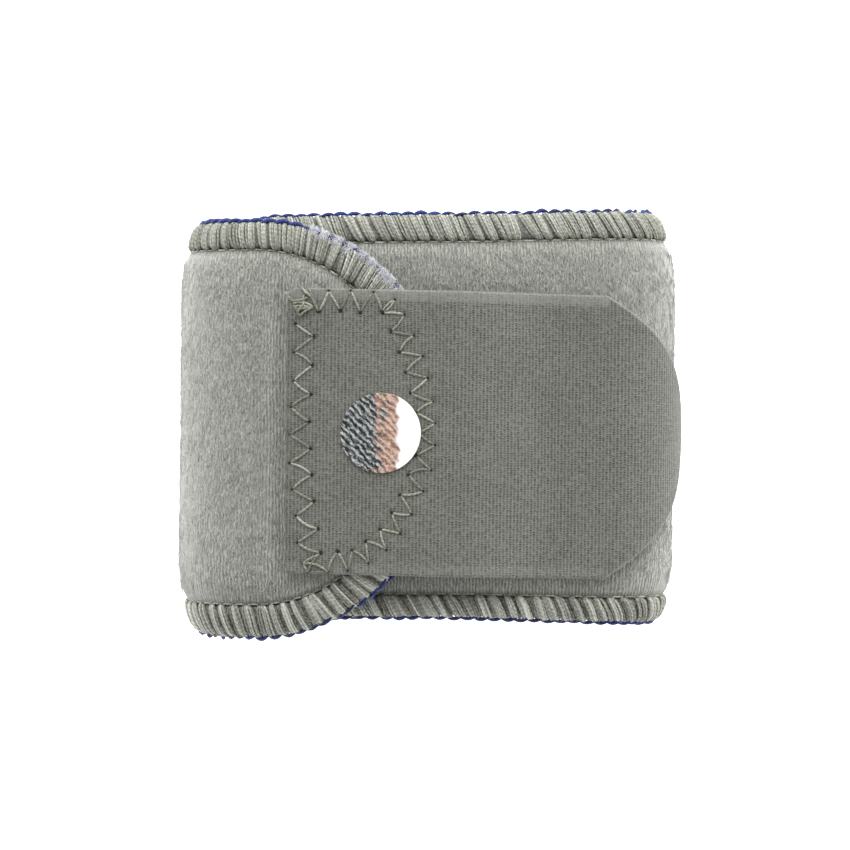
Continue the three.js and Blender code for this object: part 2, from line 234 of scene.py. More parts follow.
def sheetFaces(outline, rings):  # top and bottom vertices alternate: rings first, then the rows between the sides
    side, columns = outline["side"], outline["columns"]
    count = len(outline["along"])
    pair = 2 * np.arange(rings * count).reshape(rings, count)
    ahead = np.roll(pair, -1, axis=1)
    top = np.stack([pair[:-1], pair[1:], ahead[1:], ahead[:-1]], axis=-1).reshape(-1, 4)
    edge = np.stack([pair[0], ahead[0], ahead[0] + 1, pair[0] + 1], axis=-1)
    rows = np.zeros((side, columns), dtype=int)
    inner = pair[-1]
    rows[:, -1] = inner[:side]
    rows[:, 0] = inner[2 * side - np.arange(side)]
    rows[0, 1:-1] = inner[2 * side + 1:]
    rows[1:, 1:-1] = 2 * rings * count + 2 * np.arange((side - 1) * (columns - 2)).reshape(side - 1, columns - 2)
    middle = np.stack([rows[:-1, :-1], rows[1:, :-1], rows[1:, 1:], rows[:-1, 1:]], axis=-1).reshape(-1, 4)
    fan = np.stack([rows[-1, :-1], np.full(columns - 1, inner[side]), rows[-1, 1:]], axis=-1)
    tops = np.concatenate([top, middle])
    faces = tops.tolist() + fan.tolist() + (tops[:, ::-1] + 1).tolist() + (fan[:, ::-1] + 1).tolist() + edge.tolist()
    upper = len(tops) + len(fan)
    return faces, [0] * upper + [1] * upper + [0] * len(edge)


def sheetPoints(outline, distances):  # along, y and distance from the outline, for one face of the sheet
    side, columns = outline["side"], outline["columns"]
    along = np.stack([outline["along"] + outline["into"][:, 0] * d for d in distances])
    y = np.stack([outline["y"] + outline["into"][:, 1] * d for d in distances])
    reach = np.stack([np.broadcast_to(d, outline["along"].shape) for d in distances])
    upper = np.arange(1, side)
    lower = 2 * side - upper
    share = np.arange(1, columns - 1) / (columns - 1)
    mix = lambda values: (values[-1][lower][:, None] * (1 - share) + values[-1][upper][:, None] * share).ravel()
    inside = np.minimum(share, 1 - share) * 2 * 30
    reachInside = mix(reach) + np.tile(inside, side - 1)
    return (np.concatenate([along.ravel(), mix(along)]), np.concatenate([y.ravel(), mix(y)]),
            np.concatenate([reach.ravel(), reachInside]))


def threadShape(sides, rings):  # one short round thread, modelled once; every stitch is a copy of it
    bpy.ops.mesh.primitive_cylinder_add(vertices=sides, radius=1, depth=1, end_fill_type="NGON")
    thread = bpy.context.object
    bpy.ops.object.mode_set(mode="EDIT")
    bpy.ops.mesh.select_mode(type="EDGE")
    bpy.ops.mesh.select_all(action="DESELECT")
    bpy.ops.object.mode_set(mode="OBJECT")
    for edge in thread.data.edges:
        ends = [thread.data.vertices[v].co.z for v in edge.vertices]
        edge.select = abs(ends[0] - ends[1]) > 0.5
    bpy.ops.object.mode_set(mode="EDIT")
    bpy.ops.mesh.subdivide(number_cuts=rings - 2)
    bpy.ops.object.mode_set(mode="OBJECT")
    spots = np.array([vertex.co[:] for vertex in thread.data.vertices])
    faces = [list(face.vertices) for face in thread.data.polygons]
    bpy.data.objects.remove(thread, do_unlink=True)
    return {"share": spots[:, 2] + 0.5, "x": spots[:, 0], "y": spots[:, 1], "faces": faces, "rings": rings}


def layThreads(name, shape, paths, ups, radii, material, shades):  # paths and ups: threads x rings x 3, metres
    way = np.gradient(paths, axis=1)
    way /= np.linalg.norm(way, axis=2)[..., None]
    up = ups - way * (ups * way).sum(axis=2)[..., None]
    up /= np.linalg.norm(up, axis=2)[..., None]
    cross = np.cross(way, up)
    ring = np.rint(shape["share"] * (shape["rings"] - 1)).astype(int)
    radii = np.broadcast_to(np.asarray(radii, dtype=float), paths.shape[:2]) * mm
    points = (paths[:, ring] + (up[:, ring] * shape["x"][None, :, None] + cross[:, ring] * shape["y"][None, :, None])
              * radii[:, ring][..., None])
    size = len(ring)
    faces = [[v + size * n for v in face] for n in range(len(paths)) for face in shape["faces"]]
    steps = np.linalg.norm(np.diff(paths, axis=1), axis=2)
    run = np.concatenate([np.zeros((len(paths), 1)), np.cumsum(steps, axis=1)], axis=1)[:, ring] / mm
    angle = np.broadcast_to(np.arctan2(shape["y"], shape["x"]) / (2 * math.pi) + 0.5, run.shape)
    attributes = {"shade": np.repeat(shades, size), "around": angle.ravel(), "run": run.ravel()}
    uv = np.stack([angle.ravel(), run.ravel()], axis=1)
    return makePiece(name, points.reshape(-1, 3), faces, [material], uv, attributes)


band = {
    "step": 0.55, "columns": 50, "needlePitch": 2.4,
    "pile": {"dark": "#656660", "mid": "#84857e", "light": "#a4a59d", "tip": "#cccdc6", "bump": 0.27,
             "streak": (0.30, 1.3), "fleck": (0.20, 0.45), "mottle": (6.0, 8.0), "wale": 0.58},
    "jersey": {"dark": "#16234f", "mid": "#243a7a", "light": "#3a549b", "bump": 0.12, "column": 0.8, "course": 0.55},
    "scallop": 0.1, "scallopFade": 1.1, "swell": 0.1,
    "firstRing": 1.45,  # in from the rim, and the others from the needle line
    "rings": [-0.5, 0.05, 0.3, 0.6, 1.0, 1.6, 2.4, 3.2, 4.1],
    "crease": {"setback": 1.0, "depth": 0.22, "width": 0.8, "swell": 0.10, "swellAt": 2.2, "swellWidth": 1.1},
    "wall": [(-9, 1.15), (-0.35, 1.15), (0.05, 1.20), (0.3, 1.38), (0.6, 1.60), (1.0, 1.80), (1.6, 1.96),
             (2.4, 2.06), (3.2, 2.12), (4.1, 2.15), (99, 2.15)],  # past the needle line, half thickness
}


def makePileMaterial():
    # brushed nylon loop fabric on warp-knit columns: short fibres lie across the strip and glow where it turns away.
    # Sizes in mm: a fibre's streak and the fleck of its loop, slow mottling, and the width of a knitted column.
    look = band["pile"]
    material, tree, bsdf = startMaterial("brushedLoopPile", Roughness=0.95, Sheen_Weight=0.75, Sheen_Roughness=0.5,
                                         Specular_IOR_Level=0.2)
    uv = addNode(tree, "UVMap", uv_map="UVMap")
    past, combed = (addNode(tree, "Attribute", out="Fac", attribute_name=key) for key in ("past", "combed"))
    grains = []
    for (sizeX, sizeY), detail, bend in ((look["streak"], 3.0, 0.45), (look["fleck"], 2.0, 0.2),
                                         (look["mottle"], 2.0, 0.0)):
        spread = addNode(tree, "Mapping", {"Vector": uv, "Scale": (1 / sizeX, 1 / sizeY, 1)})
        grains.append(addNode(tree, "TexNoise", {"Vector": spread, "Scale": 1.0, "Detail": detail, "Roughness": 0.62,
                                                 "Distortion": bend}, noise_dimensions="2D"))
    streak, fleck, mottle = grains
    across = addNode(tree, "SeparateXYZ", {"Vector": uv})
    wander = addNode(tree, "Math", {0: mottle, 1: 9.0, 2: 0.0}, operation="MULTIPLY_ADD")
    turn = addNode(tree, "Math", {0: across, 1: 2 * math.pi / look["wale"], 2: wander}, operation="MULTIPLY_ADD")
    wale = halfWave(tree, turn)
    broken = addNode(tree, "Math", {0: wale, 1: streak}, operation="MULTIPLY")
    combedWale = addNode(tree, "Math", {0: broken, 1: combed}, operation="MULTIPLY")
    grain = addNode(tree, "Math", {0: fleck, 1: 0.42, 2: 0.0}, operation="MULTIPLY_ADD")
    grain = addNode(tree, "Math", {0: streak, 1: 0.58, 2: grain}, operation="MULTIPLY_ADD")
    grain = addNode(tree, "Math", {0: combedWale, 1: 0.42, 2: grain}, operation="MULTIPLY_ADD")
    lowered = addNode(tree, "Math", {0: combed, 1: -0.10, 2: grain}, operation="MULTIPLY_ADD")
    color = addNode(tree, "ValToRGB", {"Fac": lowered},
                    stops=[(0.36, look["dark"]), (0.5, look["mid"]), (0.66, look["light"])])
    tip = addNode(tree, "MapRange", {"Value": fleck, "From Min": 0.64, "From Max": 0.74, "To Min": 0.0, "To Max": 0.4})
    color = addNode(tree, "Mix", {"Factor": tip, "A": color, "B": linear(look["tip"])}, "Result", data_type="RGBA")
    # painted shade: the pile is darkened towards the needle line, where the seam groove lies in shade
    paintedGrooveShade = addNode(tree, "MapRange", {"Value": past, "From Min": 0.1, "From Max": 1.2, "To Min": 0.42, "To Max": 1.0})
    cloud = addNode(tree, "MapRange", {"Value": mottle, "From Min": 0.3, "From Max": 0.7, "To Min": 0.94,
                                       "To Max": 1.05})
    shade = addNode(tree, "Math", {0: paintedGrooveShade, 1: cloud}, operation="MULTIPLY")
    color = addNode(tree, "VectorMath", {"Vector": color, "Scale": shade}, operation="SCALE")
    finishMaterial(tree, bsdf, color, grain, look["bump"])
    return material


def makeJerseyMaterial():
    # plain weft-knit polyester jersey on the skin side: fine columns of stitches, slightly shiny. Sizes in mm: the
    # width of a column and the height of a course of stitches.
    look = band["jersey"]
    material, tree, bsdf = startMaterial("blueWeftJersey", Roughness=0.8, Sheen_Weight=0.3, Sheen_Roughness=0.5)
    uv = addNode(tree, "UVMap", uv_map="UVMap")
    column = addNode(tree, "SeparateXYZ", {"Vector": uv})
    course = addNode(tree, "SeparateXYZ", {"Vector": uv}, out=1)
    turn = addNode(tree, "Math", {0: column, 1: math.pi / look["column"]}, operation="MULTIPLY")
    wale = addNode(tree, "Math", {0: addNode(tree, "Math", {0: turn}, operation="SINE")}, operation="ABSOLUTE")
    rise = addNode(tree, "Math", {0: course, 1: 2 * math.pi / look["course"]}, operation="MULTIPLY")
    lean = addNode(tree, "Math", {0: wale, 1: 2.6, 2: rise}, operation="MULTIPLY_ADD")
    loop = addNode(tree, "Math", {0: addNode(tree, "Math", {0: lean}, operation="SINE"), 1: 0.25, 2: 0.25},
                   operation="MULTIPLY_ADD")
    knit = addNode(tree, "Math", {0: wale, 1: 0.5, 2: loop}, operation="MULTIPLY_ADD")
    spread = addNode(tree, "Mapping", {"Vector": uv, "Scale": (0.2, 0.14, 1)})
    wear = addNode(tree, "TexNoise", {"Vector": spread, "Scale": 1.0, "Detail": 3.0}, noise_dimensions="2D")
    mixed = addNode(tree, "Math", {0: knit, 1: 0.7, 2: addNode(tree, "Math", {0: wear, 1: 0.3}, operation="MULTIPLY")},
                    operation="MULTIPLY_ADD")
    color = addNode(tree, "ValToRGB", {"Fac": mixed},
                    stops=[(0.2, look["dark"]), (0.5, look["mid"]), (0.85, look["light"])])
    finishMaterial(tree, bsdf, color, knit, look["bump"])
    return material


def softWaves(along, y):  # slow undulation of the foam, none where the loop lies on the floor
    waves = (np.sin(along / 7.3 + 0.6 * np.sin(y / 9)) * np.cos(y / 11 + 0.7) + 0.7 * np.sin(y / 5.7 + along / 17)
             + 0.5 * np.sin(along / 3.9 + y / 13 + 2))
    lying = np.clip(np.minimum(along - floorStart + 6, floorEnd + 6 - along) / 6, 0, 1)
    return band["swell"] * waves * (1 - lying) * 0.6


def combedAt(along, y, beyond):  # where the fabric is pulled, its columns show: by the rims and by the sewn strap end
    crease = path["length"] - strap["seat"]
    rim = np.exp(-np.maximum(beyond, 0) / 4.0) * np.where(y < 0, 1.0, 0.6)
    pulled = np.exp(-((along - crease + 2.0) / 2.2) ** 2) * np.clip((30 - np.abs(y)) / 5, 0, 1)
    low = np.clip((-y - 14) / 14, 0, 1) * 0.45
    return np.clip(0.15 + rim + pulled * 0.9 + low, 0, 1)


def makeBand():
    outline = stripOutline(band["step"], band["columns"])
    past = [row[0] for row in band["wall"]]
    half = [row[1] for row in band["wall"]]
    distances = [np.full(len(outline["edge"]), band["firstRing"])]
    distances += [outline["edge"] + offset for offset in band["rings"]]
    along, y, reach = sheetPoints(outline, distances)
    rings, inRings = len(distances), len(distances) * len(outline["edge"])
    edge = np.concatenate([np.tile(outline["edge"], rings), np.full(len(along) - inRings, loopShape["edgeWidth"])])
    beyond = reach - edge
    beyond[inRings:] += 1.0
    stitch = outline["length"] / round(outline["length"] / band["needlePitch"])
    phase = np.concatenate([np.tile(outline["run"] / stitch, rings), np.zeros(len(along) - inRings)])
    fade = np.exp(-np.maximum(beyond, 0) / band["scallopFade"]) * (beyond > 0)
    wall = np.interp(beyond, past, half) - band["scallop"] * np.cos(2 * math.pi * phase) * fade
    soft = softWaves(along, y) * np.clip(beyond / 5, 0, 1)
    crease = band["crease"]  # where the sewn end of the strap presses the flap, and the cloth swells beside it
    fromCrease = along - (path["length"] - strap["seat"] - crease["setback"])
    pressed = (np.exp(-(fromCrease / crease["width"]) ** 2) * crease["depth"]
               - np.exp(-((fromCrease + crease["swellAt"]) / crease["swellWidth"]) ** 2) * crease["swell"])
    pressed *= np.clip((27 - np.abs(y)) / 4, 0, 1)
    top = wrapStrip(along, y, wall + soft - pressed)
    bottom = wrapStrip(along, y, -wall + soft * 0.5)
    vertices = np.stack([top, bottom], axis=1).reshape(-1, 3)
    faces, slots = sheetFaces(outline, rings)
    uv = np.repeat(np.stack([along, y], axis=1), 2, axis=0)
    attributes = {"past": np.repeat(beyond, 2), "combed": np.repeat(combedAt(along, y, beyond), 2)}
    piece = makePiece("foamBand", vertices, faces, [makePileMaterial(), makeJerseyMaterial()], uv, attributes, slots)
    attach(piece, "root")
    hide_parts("foam_band")


fibre = {
    "loops": 7500, "radius": 0.034, "height": 0.24, "length": (0.7, 1.7), "crimp": 0.449,
    "colors": ("#868780", "#a8a9a1", "#cdcec7"),
}


def makeFibreMaterial(name, colors):
    # single nylon filaments: pale, slightly translucent to the eye, each a little lighter or darker
    material, tree, bsdf = startMaterial(name, Roughness=0.7, Sheen_Weight=0.3, Sheen_Roughness=0.5)
    shade, run = (addNode(tree, "Attribute", out="Fac", attribute_name=key) for key in ("shade", "run"))
    turn = addNode(tree, "Math", {0: run, 1: 2 * math.pi / fibre["crimp"]}, operation="MULTIPLY")
    crimp = addNode(tree, "Math", {0: turn}, operation="SINE")
    mixed = addNode(tree, "Math", {0: crimp, 1: 0.08, 2: shade}, operation="MULTIPLY_ADD")
    color = addNode(tree, "ValToRGB", {"Fac": mixed}, stops=[(0.0, colors[0]), (0.5, colors[1]), (1.0, colors[2])])
    finishMaterial(tree, bsdf, color, crimp, 0.01)
    return material


def isOpen(along, y, margin):  # true where neither the flap, the strap, the floor nor the overlock covers the fabric
    heading = np.arctan2(*pathAt(along)[2:])
    under = along < floorStart
    flapStart = path["length"] - loopShape["flapReach"]

    def halfAt(where):  # middle and half width of the strip at that length, narrowed in the rounded flap
        middle, half, edge = sectionAt(where)[:3]
        share = np.clip((where - flapStart) / loopShape["flapReach"], 0, 1)
        return middle, half * np.sqrt(1 - share ** 2), edge

    over = path["length"] - (path["tipTurn"] - heading) * path["over"]
    middle, half, _ = halfAt(over)
    underFlap = under & (heading < path["tipTurn"] + margin / path["under"]) & (np.abs(y - middle) < half + margin)
    middle, half, edge = halfAt(along)
    inside = (np.abs(y - middle) < half - edge * 1.25 - 0.9) & (along < path["length"] - 7.5)
    level = path["over"] + strap["lift"]
    startTurn = path["tipTurn"] - strap["seat"] / path["over"]
    bendStart = (path["rightTurn"] - startTurn) * level
    run = np.where(heading < path["rightTurn"], (heading - startTurn) * level,
                   bendStart + (heading - path["rightTurn"]) * (path["rightRadius"] + strap["lift"]))
    across = y - strap["offset"] + run * math.tan(math.radians(strap["skew"]))
    out = np.clip((run - strap["straight"]) / strap["endLength"], 0, 1)
    underStrap = (run > -margin) & (run < strap["straight"] + strap["endLength"] + margin)
    underStrap &= np.abs(across - strap["tipDrift"] * out) < strap["width"] / 2 * np.sqrt(1 - out) + margin
    standing = np.where(under, floorStart - along, along - floorEnd) > 3
    return inside & standing & ~underFlap & ~underStrap & (along > 16)


def makeFibres():
    shape = threadShape(3, 4)
    tries = 40000
    along = randomDraw.uniform(16, path["length"], tries)
    y = randomDraw.uniform(-37, 37, tries)
    pick = np.flatnonzero(isOpen(along, y, 0.9))[:fibre["loops"]]
    along, y = along[pick, None], y[pick, None]
    count = len(pick)
    way = np.linspace(-0.5, 0.5, 4)
    length = randomDraw.uniform(*fibre["length"], (count, 1))
    lean = 0.35 * randomDraw.standard_normal((count, 1))
    curve = 0.25 * randomDraw.standard_normal((count, 1)) * (0.25 - way ** 2) * 4
    spotAlong = along + way * length * np.sin(lean) + curve * 0.5
    spotY = y + way * length * np.cos(lean)
    rise = fibre["height"] * randomDraw.uniform(0.35, 1.0, (count, 1))
    lift = np.array([-0.12, 1.0, 1.0, -0.12]) * rise + loopShape["thickness"] / 2
    lift = lift + softWaves(spotAlong, spotY)
    points = wrapStrip(spotAlong, spotY, lift)
    outward = wrapStrip(spotAlong, spotY, lift + 0.2) - points
    shades = np.clip(0.5 + 0.22 * randomDraw.standard_normal(count), 0, 1)
    material = makeFibreMaterial("nylonLoopFilament", fibre["colors"])
    piece = layThreads("pileLoops", shape, points, outward, fibre["radius"], material, shades)
    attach(piece, "root")
    print("pile loops:", count)


overlock = {
    "pitch": 2.4, "half": 2.15, "lean": (0.56, 0.30),  # lean of the stitches on the under layer and on the flap
    "outer": {"strands": 5, "spacing": 0.42, "radius": 0.23, "foot": 0.35, "crest": 0.8},
    "inner": {"strands": 4, "spacing": 0.50, "radius": 0.25, "foot": 0.5, "crest": 0.9},
    "crestLoop": {"start": 1.45, "reach": 1.34, "rise": 0.38, "radius": 0.23, "swell": 0.14}, "needleRadius": 0.17,
    "ply": 0.8, "bump": 0.08,  # mm per turn of the twist
    "section": [(0.0, 1.03, 0.60), (0.08, 1.0, 0.80), (0.2, 0.88, 0.95), (0.35, 0.70, 1.0), (0.52, 0.49, 1.0),
                (0.68, 0.28, 0.96), (0.82, 0.10, 0.80), (0.93, 0.02, 0.48), (1.0, 0.0, 0.0)],  # needle line to crest
    "columns": [0, 0.07, 0.18, 0.32, 0.48, 0.65, 0.8, 0.93, 1],  # of the core, from the crest to either needle line
    "grey": ("#4c4d43", "#8f9086", "#cccdc3"), "blue": ("#060f36", "#0e2263", "#274b98"),
    "needle": ("#4c4d41", "#8e8f81", "#c6c7b8"), "core": ("#42433e", "#6a6b64", "#92938b"),  # dark, middle, light
    "fluffColors": ("#a5a6ae", "#cccdd4", "#ececf0"), "hairColors": ("#6c6d63", "#9fa096", "#c9cac0"),
    "fluffRadius": 0.036, "bareStart": 29.0, "clumpFibres": 320, "loosePerMm": 4, "fuzzPerMm": 14,
}


def makeThreadMaterial(name, colors, rootShade=1.0):
    # textured polyester yarn: crimped plies lightly twisted, a soft shine, each lay lighter or darker, and painted
    # shade by the root, where it goes down into the seam
    material, tree, bsdf = startMaterial(name, Roughness=0.65, Sheen_Weight=0.08, Sheen_Roughness=0.5,
                                         Specular_IOR_Level=0.35)
    around, run, shade = (addNode(tree, "Attribute", out="Fac", attribute_name=key)
                          for key in ("around", "run", "shade"))
    twist = addNode(tree, "Math", {0: around, 1: 2 * math.pi}, operation="MULTIPLY")
    twist = addNode(tree, "Math", {0: shade, 1: 90.0, 2: twist}, operation="MULTIPLY_ADD")  # no two start alike
    twist = addNode(tree, "Math", {0: run, 1: 2 * math.pi / overlock["ply"], 2: twist}, operation="MULTIPLY_ADD")
    ply = halfWave(tree, twist)
    where = addNode(tree, "TexCoord", out="Object")
    fuzz = addNode(tree, "TexNoise", {"Vector": where, "Scale": 2600.0, "Detail": 2.5, "Roughness": 0.65})
    mixed = addNode(tree, "Math", {0: fuzz, 1: 0.62, 2: shade}, operation="MULTIPLY_ADD")
    mixed = addNode(tree, "Math", {0: ply, 1: 0.12, 2: mixed}, operation="MULTIPLY_ADD")
    color = addNode(tree, "ValToRGB", {"Fac": mixed}, stops=[(0.1, colors[0]), (0.37, colors[1]), (0.66, colors[2])])
    # painted shade: the strand is darkened near its root at the needle line
    root = addNode(tree, "MapRange", {"Value": run, "From Min": 0.0, "From Max": 2.2, "To Min": rootShade,
                                      "To Max": 1.0})
    color = addNode(tree, "VectorMath", {"Vector": color, "Scale": root}, operation="SCALE")
    finishMaterial(tree, bsdf, color, mixed, overlock["bump"])
    return material


def makeCoreMaterial():
    # cut foam and pile edge that shows between the stitch groups: matte, fuzzy, coloured darker than the pile as
    # painted shade
    material, tree, bsdf = startMaterial("shadeDarkenedFoamEdge", Roughness=1.0, Sheen_Weight=0.5, Sheen_Roughness=0.5,
                                         Specular_IOR_Level=0.1)
    where = addNode(tree, "TexCoord", out="Object")
    fuzz = addNode(tree, "TexNoise", {"Vector": where, "Scale": 2200.0, "Detail": 3.0, "Roughness": 0.7})
    colors = overlock["core"]
    color = addNode(tree, "ValToRGB", {"Fac": fuzz}, stops=[(0.3, colors[0]), (0.5, colors[1]), (0.72, colors[2])])
    finishMaterial(tree, bsdf, color, fuzz, 0.2)
    return material


def edgeLine():  # the outline as a closed line that can be sampled at any run
    outline = stripOutline(0.5, 60)
    run = np.concatenate([outline["run"] + turn * outline["length"] for turn in (-1, 0, 1)])
    values = [outline["along"], outline["y"], outline["edge"], outline["into"][:, 0], outline["into"][:, 1]]
    rows = [np.tile(value, 3) for value in values]
    return {"length": outline["length"], "at": lambda s: [np.interp(s, run, row) for row in rows]}


line = edgeLine()


def onRoll(run, around, lift=0.0):
    # around: 1 at the outer needle line, 0 at the crest, -1 at the inner one. Gives points and outward directions.
    table = np.array(overlock["section"])
    along, y, edge, intoA, intoY = line["at"](run)

    def spot(where):
        share = 1 - np.abs(where)
        inward = np.interp(share, table[:, 0], table[:, 1]) * edge
        up = np.interp(share, table[:, 0], table[:, 2]) * overlock["half"] * np.sign(where)
        return inward, up

    inward, up = spot(around)
    aheadIn, aheadUp = spot(np.clip(around + 0.05, -1, 1))
    behindIn, behindUp = spot(np.clip(around - 0.05, -1, 1))
    normalIn, normalUp = -(aheadUp - behindUp), aheadIn - behindIn
    size = np.hypot(normalIn, normalUp)
    normalIn, normalUp = normalIn / size, normalUp / size

    def at(distance):
        d, t = inward + normalIn * distance, up + normalUp * distance
        return wrapStrip(along + intoA * d, y + intoY * d, t)

    points = at(lift)
    return points, at(lift + 0.2) - points


def flapShare(run):  # 0 on the under layer and 1 on the flap
    along = line["at"](run)[0]
    return np.clip((along - floorEnd) / 20, 0, 1)


def bareShare(run):  # 1 on the upper diagonal of the flap, where the blue loops have sunk and pale fluff stands
    along, y = line["at"](run)[:2]
    return np.clip((along - path["length"] + overlock["bareStart"]) / 5, 0, 1) * (y > 3)


def makeRoll():
    stations = round(line["length"] / 1.1)
    run = np.arange(stations) * line["length"] / stations
    columns = overlock["columns"]
    around = np.array(columns[::-1] + [-column for column in columns[1:]])
    outer = onRoll(run[:, None] + 0 * around, around + 0 * run[:, None], -0.30)[0]
    along, y, edge, intoA, intoY = line["at"](run)
    inner = [wrapStrip(along + intoA * d, y + intoY * d, np.full_like(along, t))
             for d, t in ((edge * 0.97, -1.3), (1.3 + 0 * edge, -1.3), (1.3 + 0 * edge, 1.3), (edge * 0.97, 1.3))]
    points = np.concatenate([outer, np.stack(inner, axis=1)], axis=1)
    size = points.shape[1]
    index = np.arange(stations * size).reshape(stations, size)
    ahead, beside = np.roll(index, -1, axis=0), np.roll(index, -1, axis=1)
    faces = np.stack([index, ahead, np.roll(ahead, -1, axis=1), beside], axis=-1).reshape(-1, 4)
    piece = makePiece("overlockRoll", points.reshape(-1, 3), faces, [makeCoreMaterial()])
    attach(piece, "root")
    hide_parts("overlock_edge")


def makeStitches(greyThread, blueThread, needleThread):
    count = round(line["length"] / overlock["pitch"])
    pitch = line["length"] / count
    start = np.arange(count) * pitch
    rings = 11
    strandShape = threadShape(5, rings)
    share = np.linspace(0, 1, rings)  # from the needle line to the crest
    flap = flapShare(start)
    leanAt = overlock["lean"][0] * (1 - flap) + overlock["lean"][1] * flap

    def layStrands(name, material, side, group):
        strands = group["strands"]
        offsets = (np.arange(strands) - (strands - 1) / 2) * group["spacing"]
        gather = 1 + 0.12 * randomDraw.standard_normal((count, 1, 1))
        spread = np.interp(share, [0, 0.12, 0.3, 0.8, 1], [group["foot"], 0.75, 1.0, 1.0, group["crest"]]) * gather
        leaning = leanAt * (1 + 0.14 * randomDraw.standard_normal(count))
        run = (start[:, None, None] + offsets[None, :, None] * spread
               + leaning[:, None, None] * loopShape["edgeWidth"] * (1 - share)
               + 0.04 * randomDraw.standard_normal((count, strands, 1)))
        run = run + 0.022 * np.cumsum(randomDraw.standard_normal(run.shape), axis=2)
        crown = 1 - (offsets / (abs(offsets).max() + group["spacing"] * 0.5)) ** 2
        lift = (-0.14 + 0.30 * crown[None, :, None] * np.sin(math.pi * np.clip(share * 1.05, 0, 1)) ** 0.7
                + 0.05 * randomDraw.standard_normal((count, strands, 1)))
        end = side * np.interp(share, [0, 1], [1.0, 0.02])
        points, outward = onRoll(run, np.broadcast_to(end, run.shape), np.broadcast_to(lift, run.shape))
        radii = group["radius"] * (1 + 0.12 * randomDraw.standard_normal((count * strands, 1))) * np.ones(len(share))
        radii = radii * (1 + 0.06 * randomDraw.standard_normal(radii.shape))
        radii[:, 0] *= 0.6
        low = (line["at"](start)[1] < -5)[:, None]  # painted shade on the lower rim: darker overall, and darker at each group's edges so the groups stand out from shaded gaps
        # each group is painted lighter in its middle and darker at its edges, as light falls on a round bundle
        shades = ((0.06 + 0.04 * low) * randomDraw.standard_normal((count, strands)) + (0.05 + 0.16 * low) * crown
                  - 0.06 - 0.06 * low)
        shapeOf = (count * strands, len(share), 3)
        piece = layThreads(name, strandShape, points.reshape(shapeOf), outward.reshape(shapeOf), radii, material,
                           shades.ravel())
        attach(piece, "root")

    layStrands("overlockStrands", greyThread, 1, overlock["outer"])
    layStrands("overlockInnerStrands", blueThread, -1, overlock["inner"])

    # loops of the blue thread stand in a row along the crest, each tucked under the next; they sink in the bare part
    loop = overlock["crestLoop"]
    way = np.linspace(-1, 1, rings)
    sunk = 0.42 * bareShare(start + 1.4)[:, None]
    along, y = line["at"](start)[:2]
    full = 1 + 0.35 * (np.clip((along - floorEnd) / 10, 0, 1) * (y > 0))[:, None]  # fuller on the flap's upper side
    loopRun = start[:, None] + loop["start"] + way * loop["reach"] + 0.08 * randomDraw.standard_normal((count, 1))
    swell = np.cos(way * math.pi / 2) ** 0.8
    size = 1 + 0.15 * randomDraw.standard_normal((count, 1))
    loopAround = 0.055 - 0.06 * way + 0.02 * randomDraw.standard_normal((count, 1))
    loopLift = -0.12 + loop["rise"] * swell * size - sunk
    points, outward = onRoll(loopRun, np.broadcast_to(loopAround, loopRun.shape), loopLift)
    radii = (loop["radius"] + loop["swell"] * swell * size) * full
    shades = 0.08 * randomDraw.standard_normal(count) - 0.02
    piece = layThreads("crestLoops", strandShape, points, outward, radii, blueThread, shades)
    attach(piece, "root")

    # needle thread: a short stitch from hole to hole along both needle lines
    needleRings = 6
    needleShape = threadShape(5, needleRings)
    way = np.linspace(0, 1, needleRings)
    for name, side, material in (("needleLineOuter", 1, needleThread), ("needleLineInner", -1, blueThread)):
        run = start[:, None] + leanAt[:, None] * loopShape["edgeWidth"] + pitch * way
        along, y, edge, intoA, intoY = line["at"](run)
        inward = edge + 0.18 + 0.12 * np.sin(math.pi * way)
        height = side * (1.16 + 0.38 * np.sin(math.pi * way) ** 0.6)
        points = wrapStrip(along + intoA * inward, y + intoY * inward, height)
        outward = wrapStrip(along + intoA * inward, y + intoY * inward, height + side * 0.2) - points
        shades = 0.06 * randomDraw.standard_normal(count)
        piece = layThreads(name, needleShape, points, outward, overlock["needleRadius"], material, shades)
        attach(piece, "root")
    print("overlock stitches:", count)


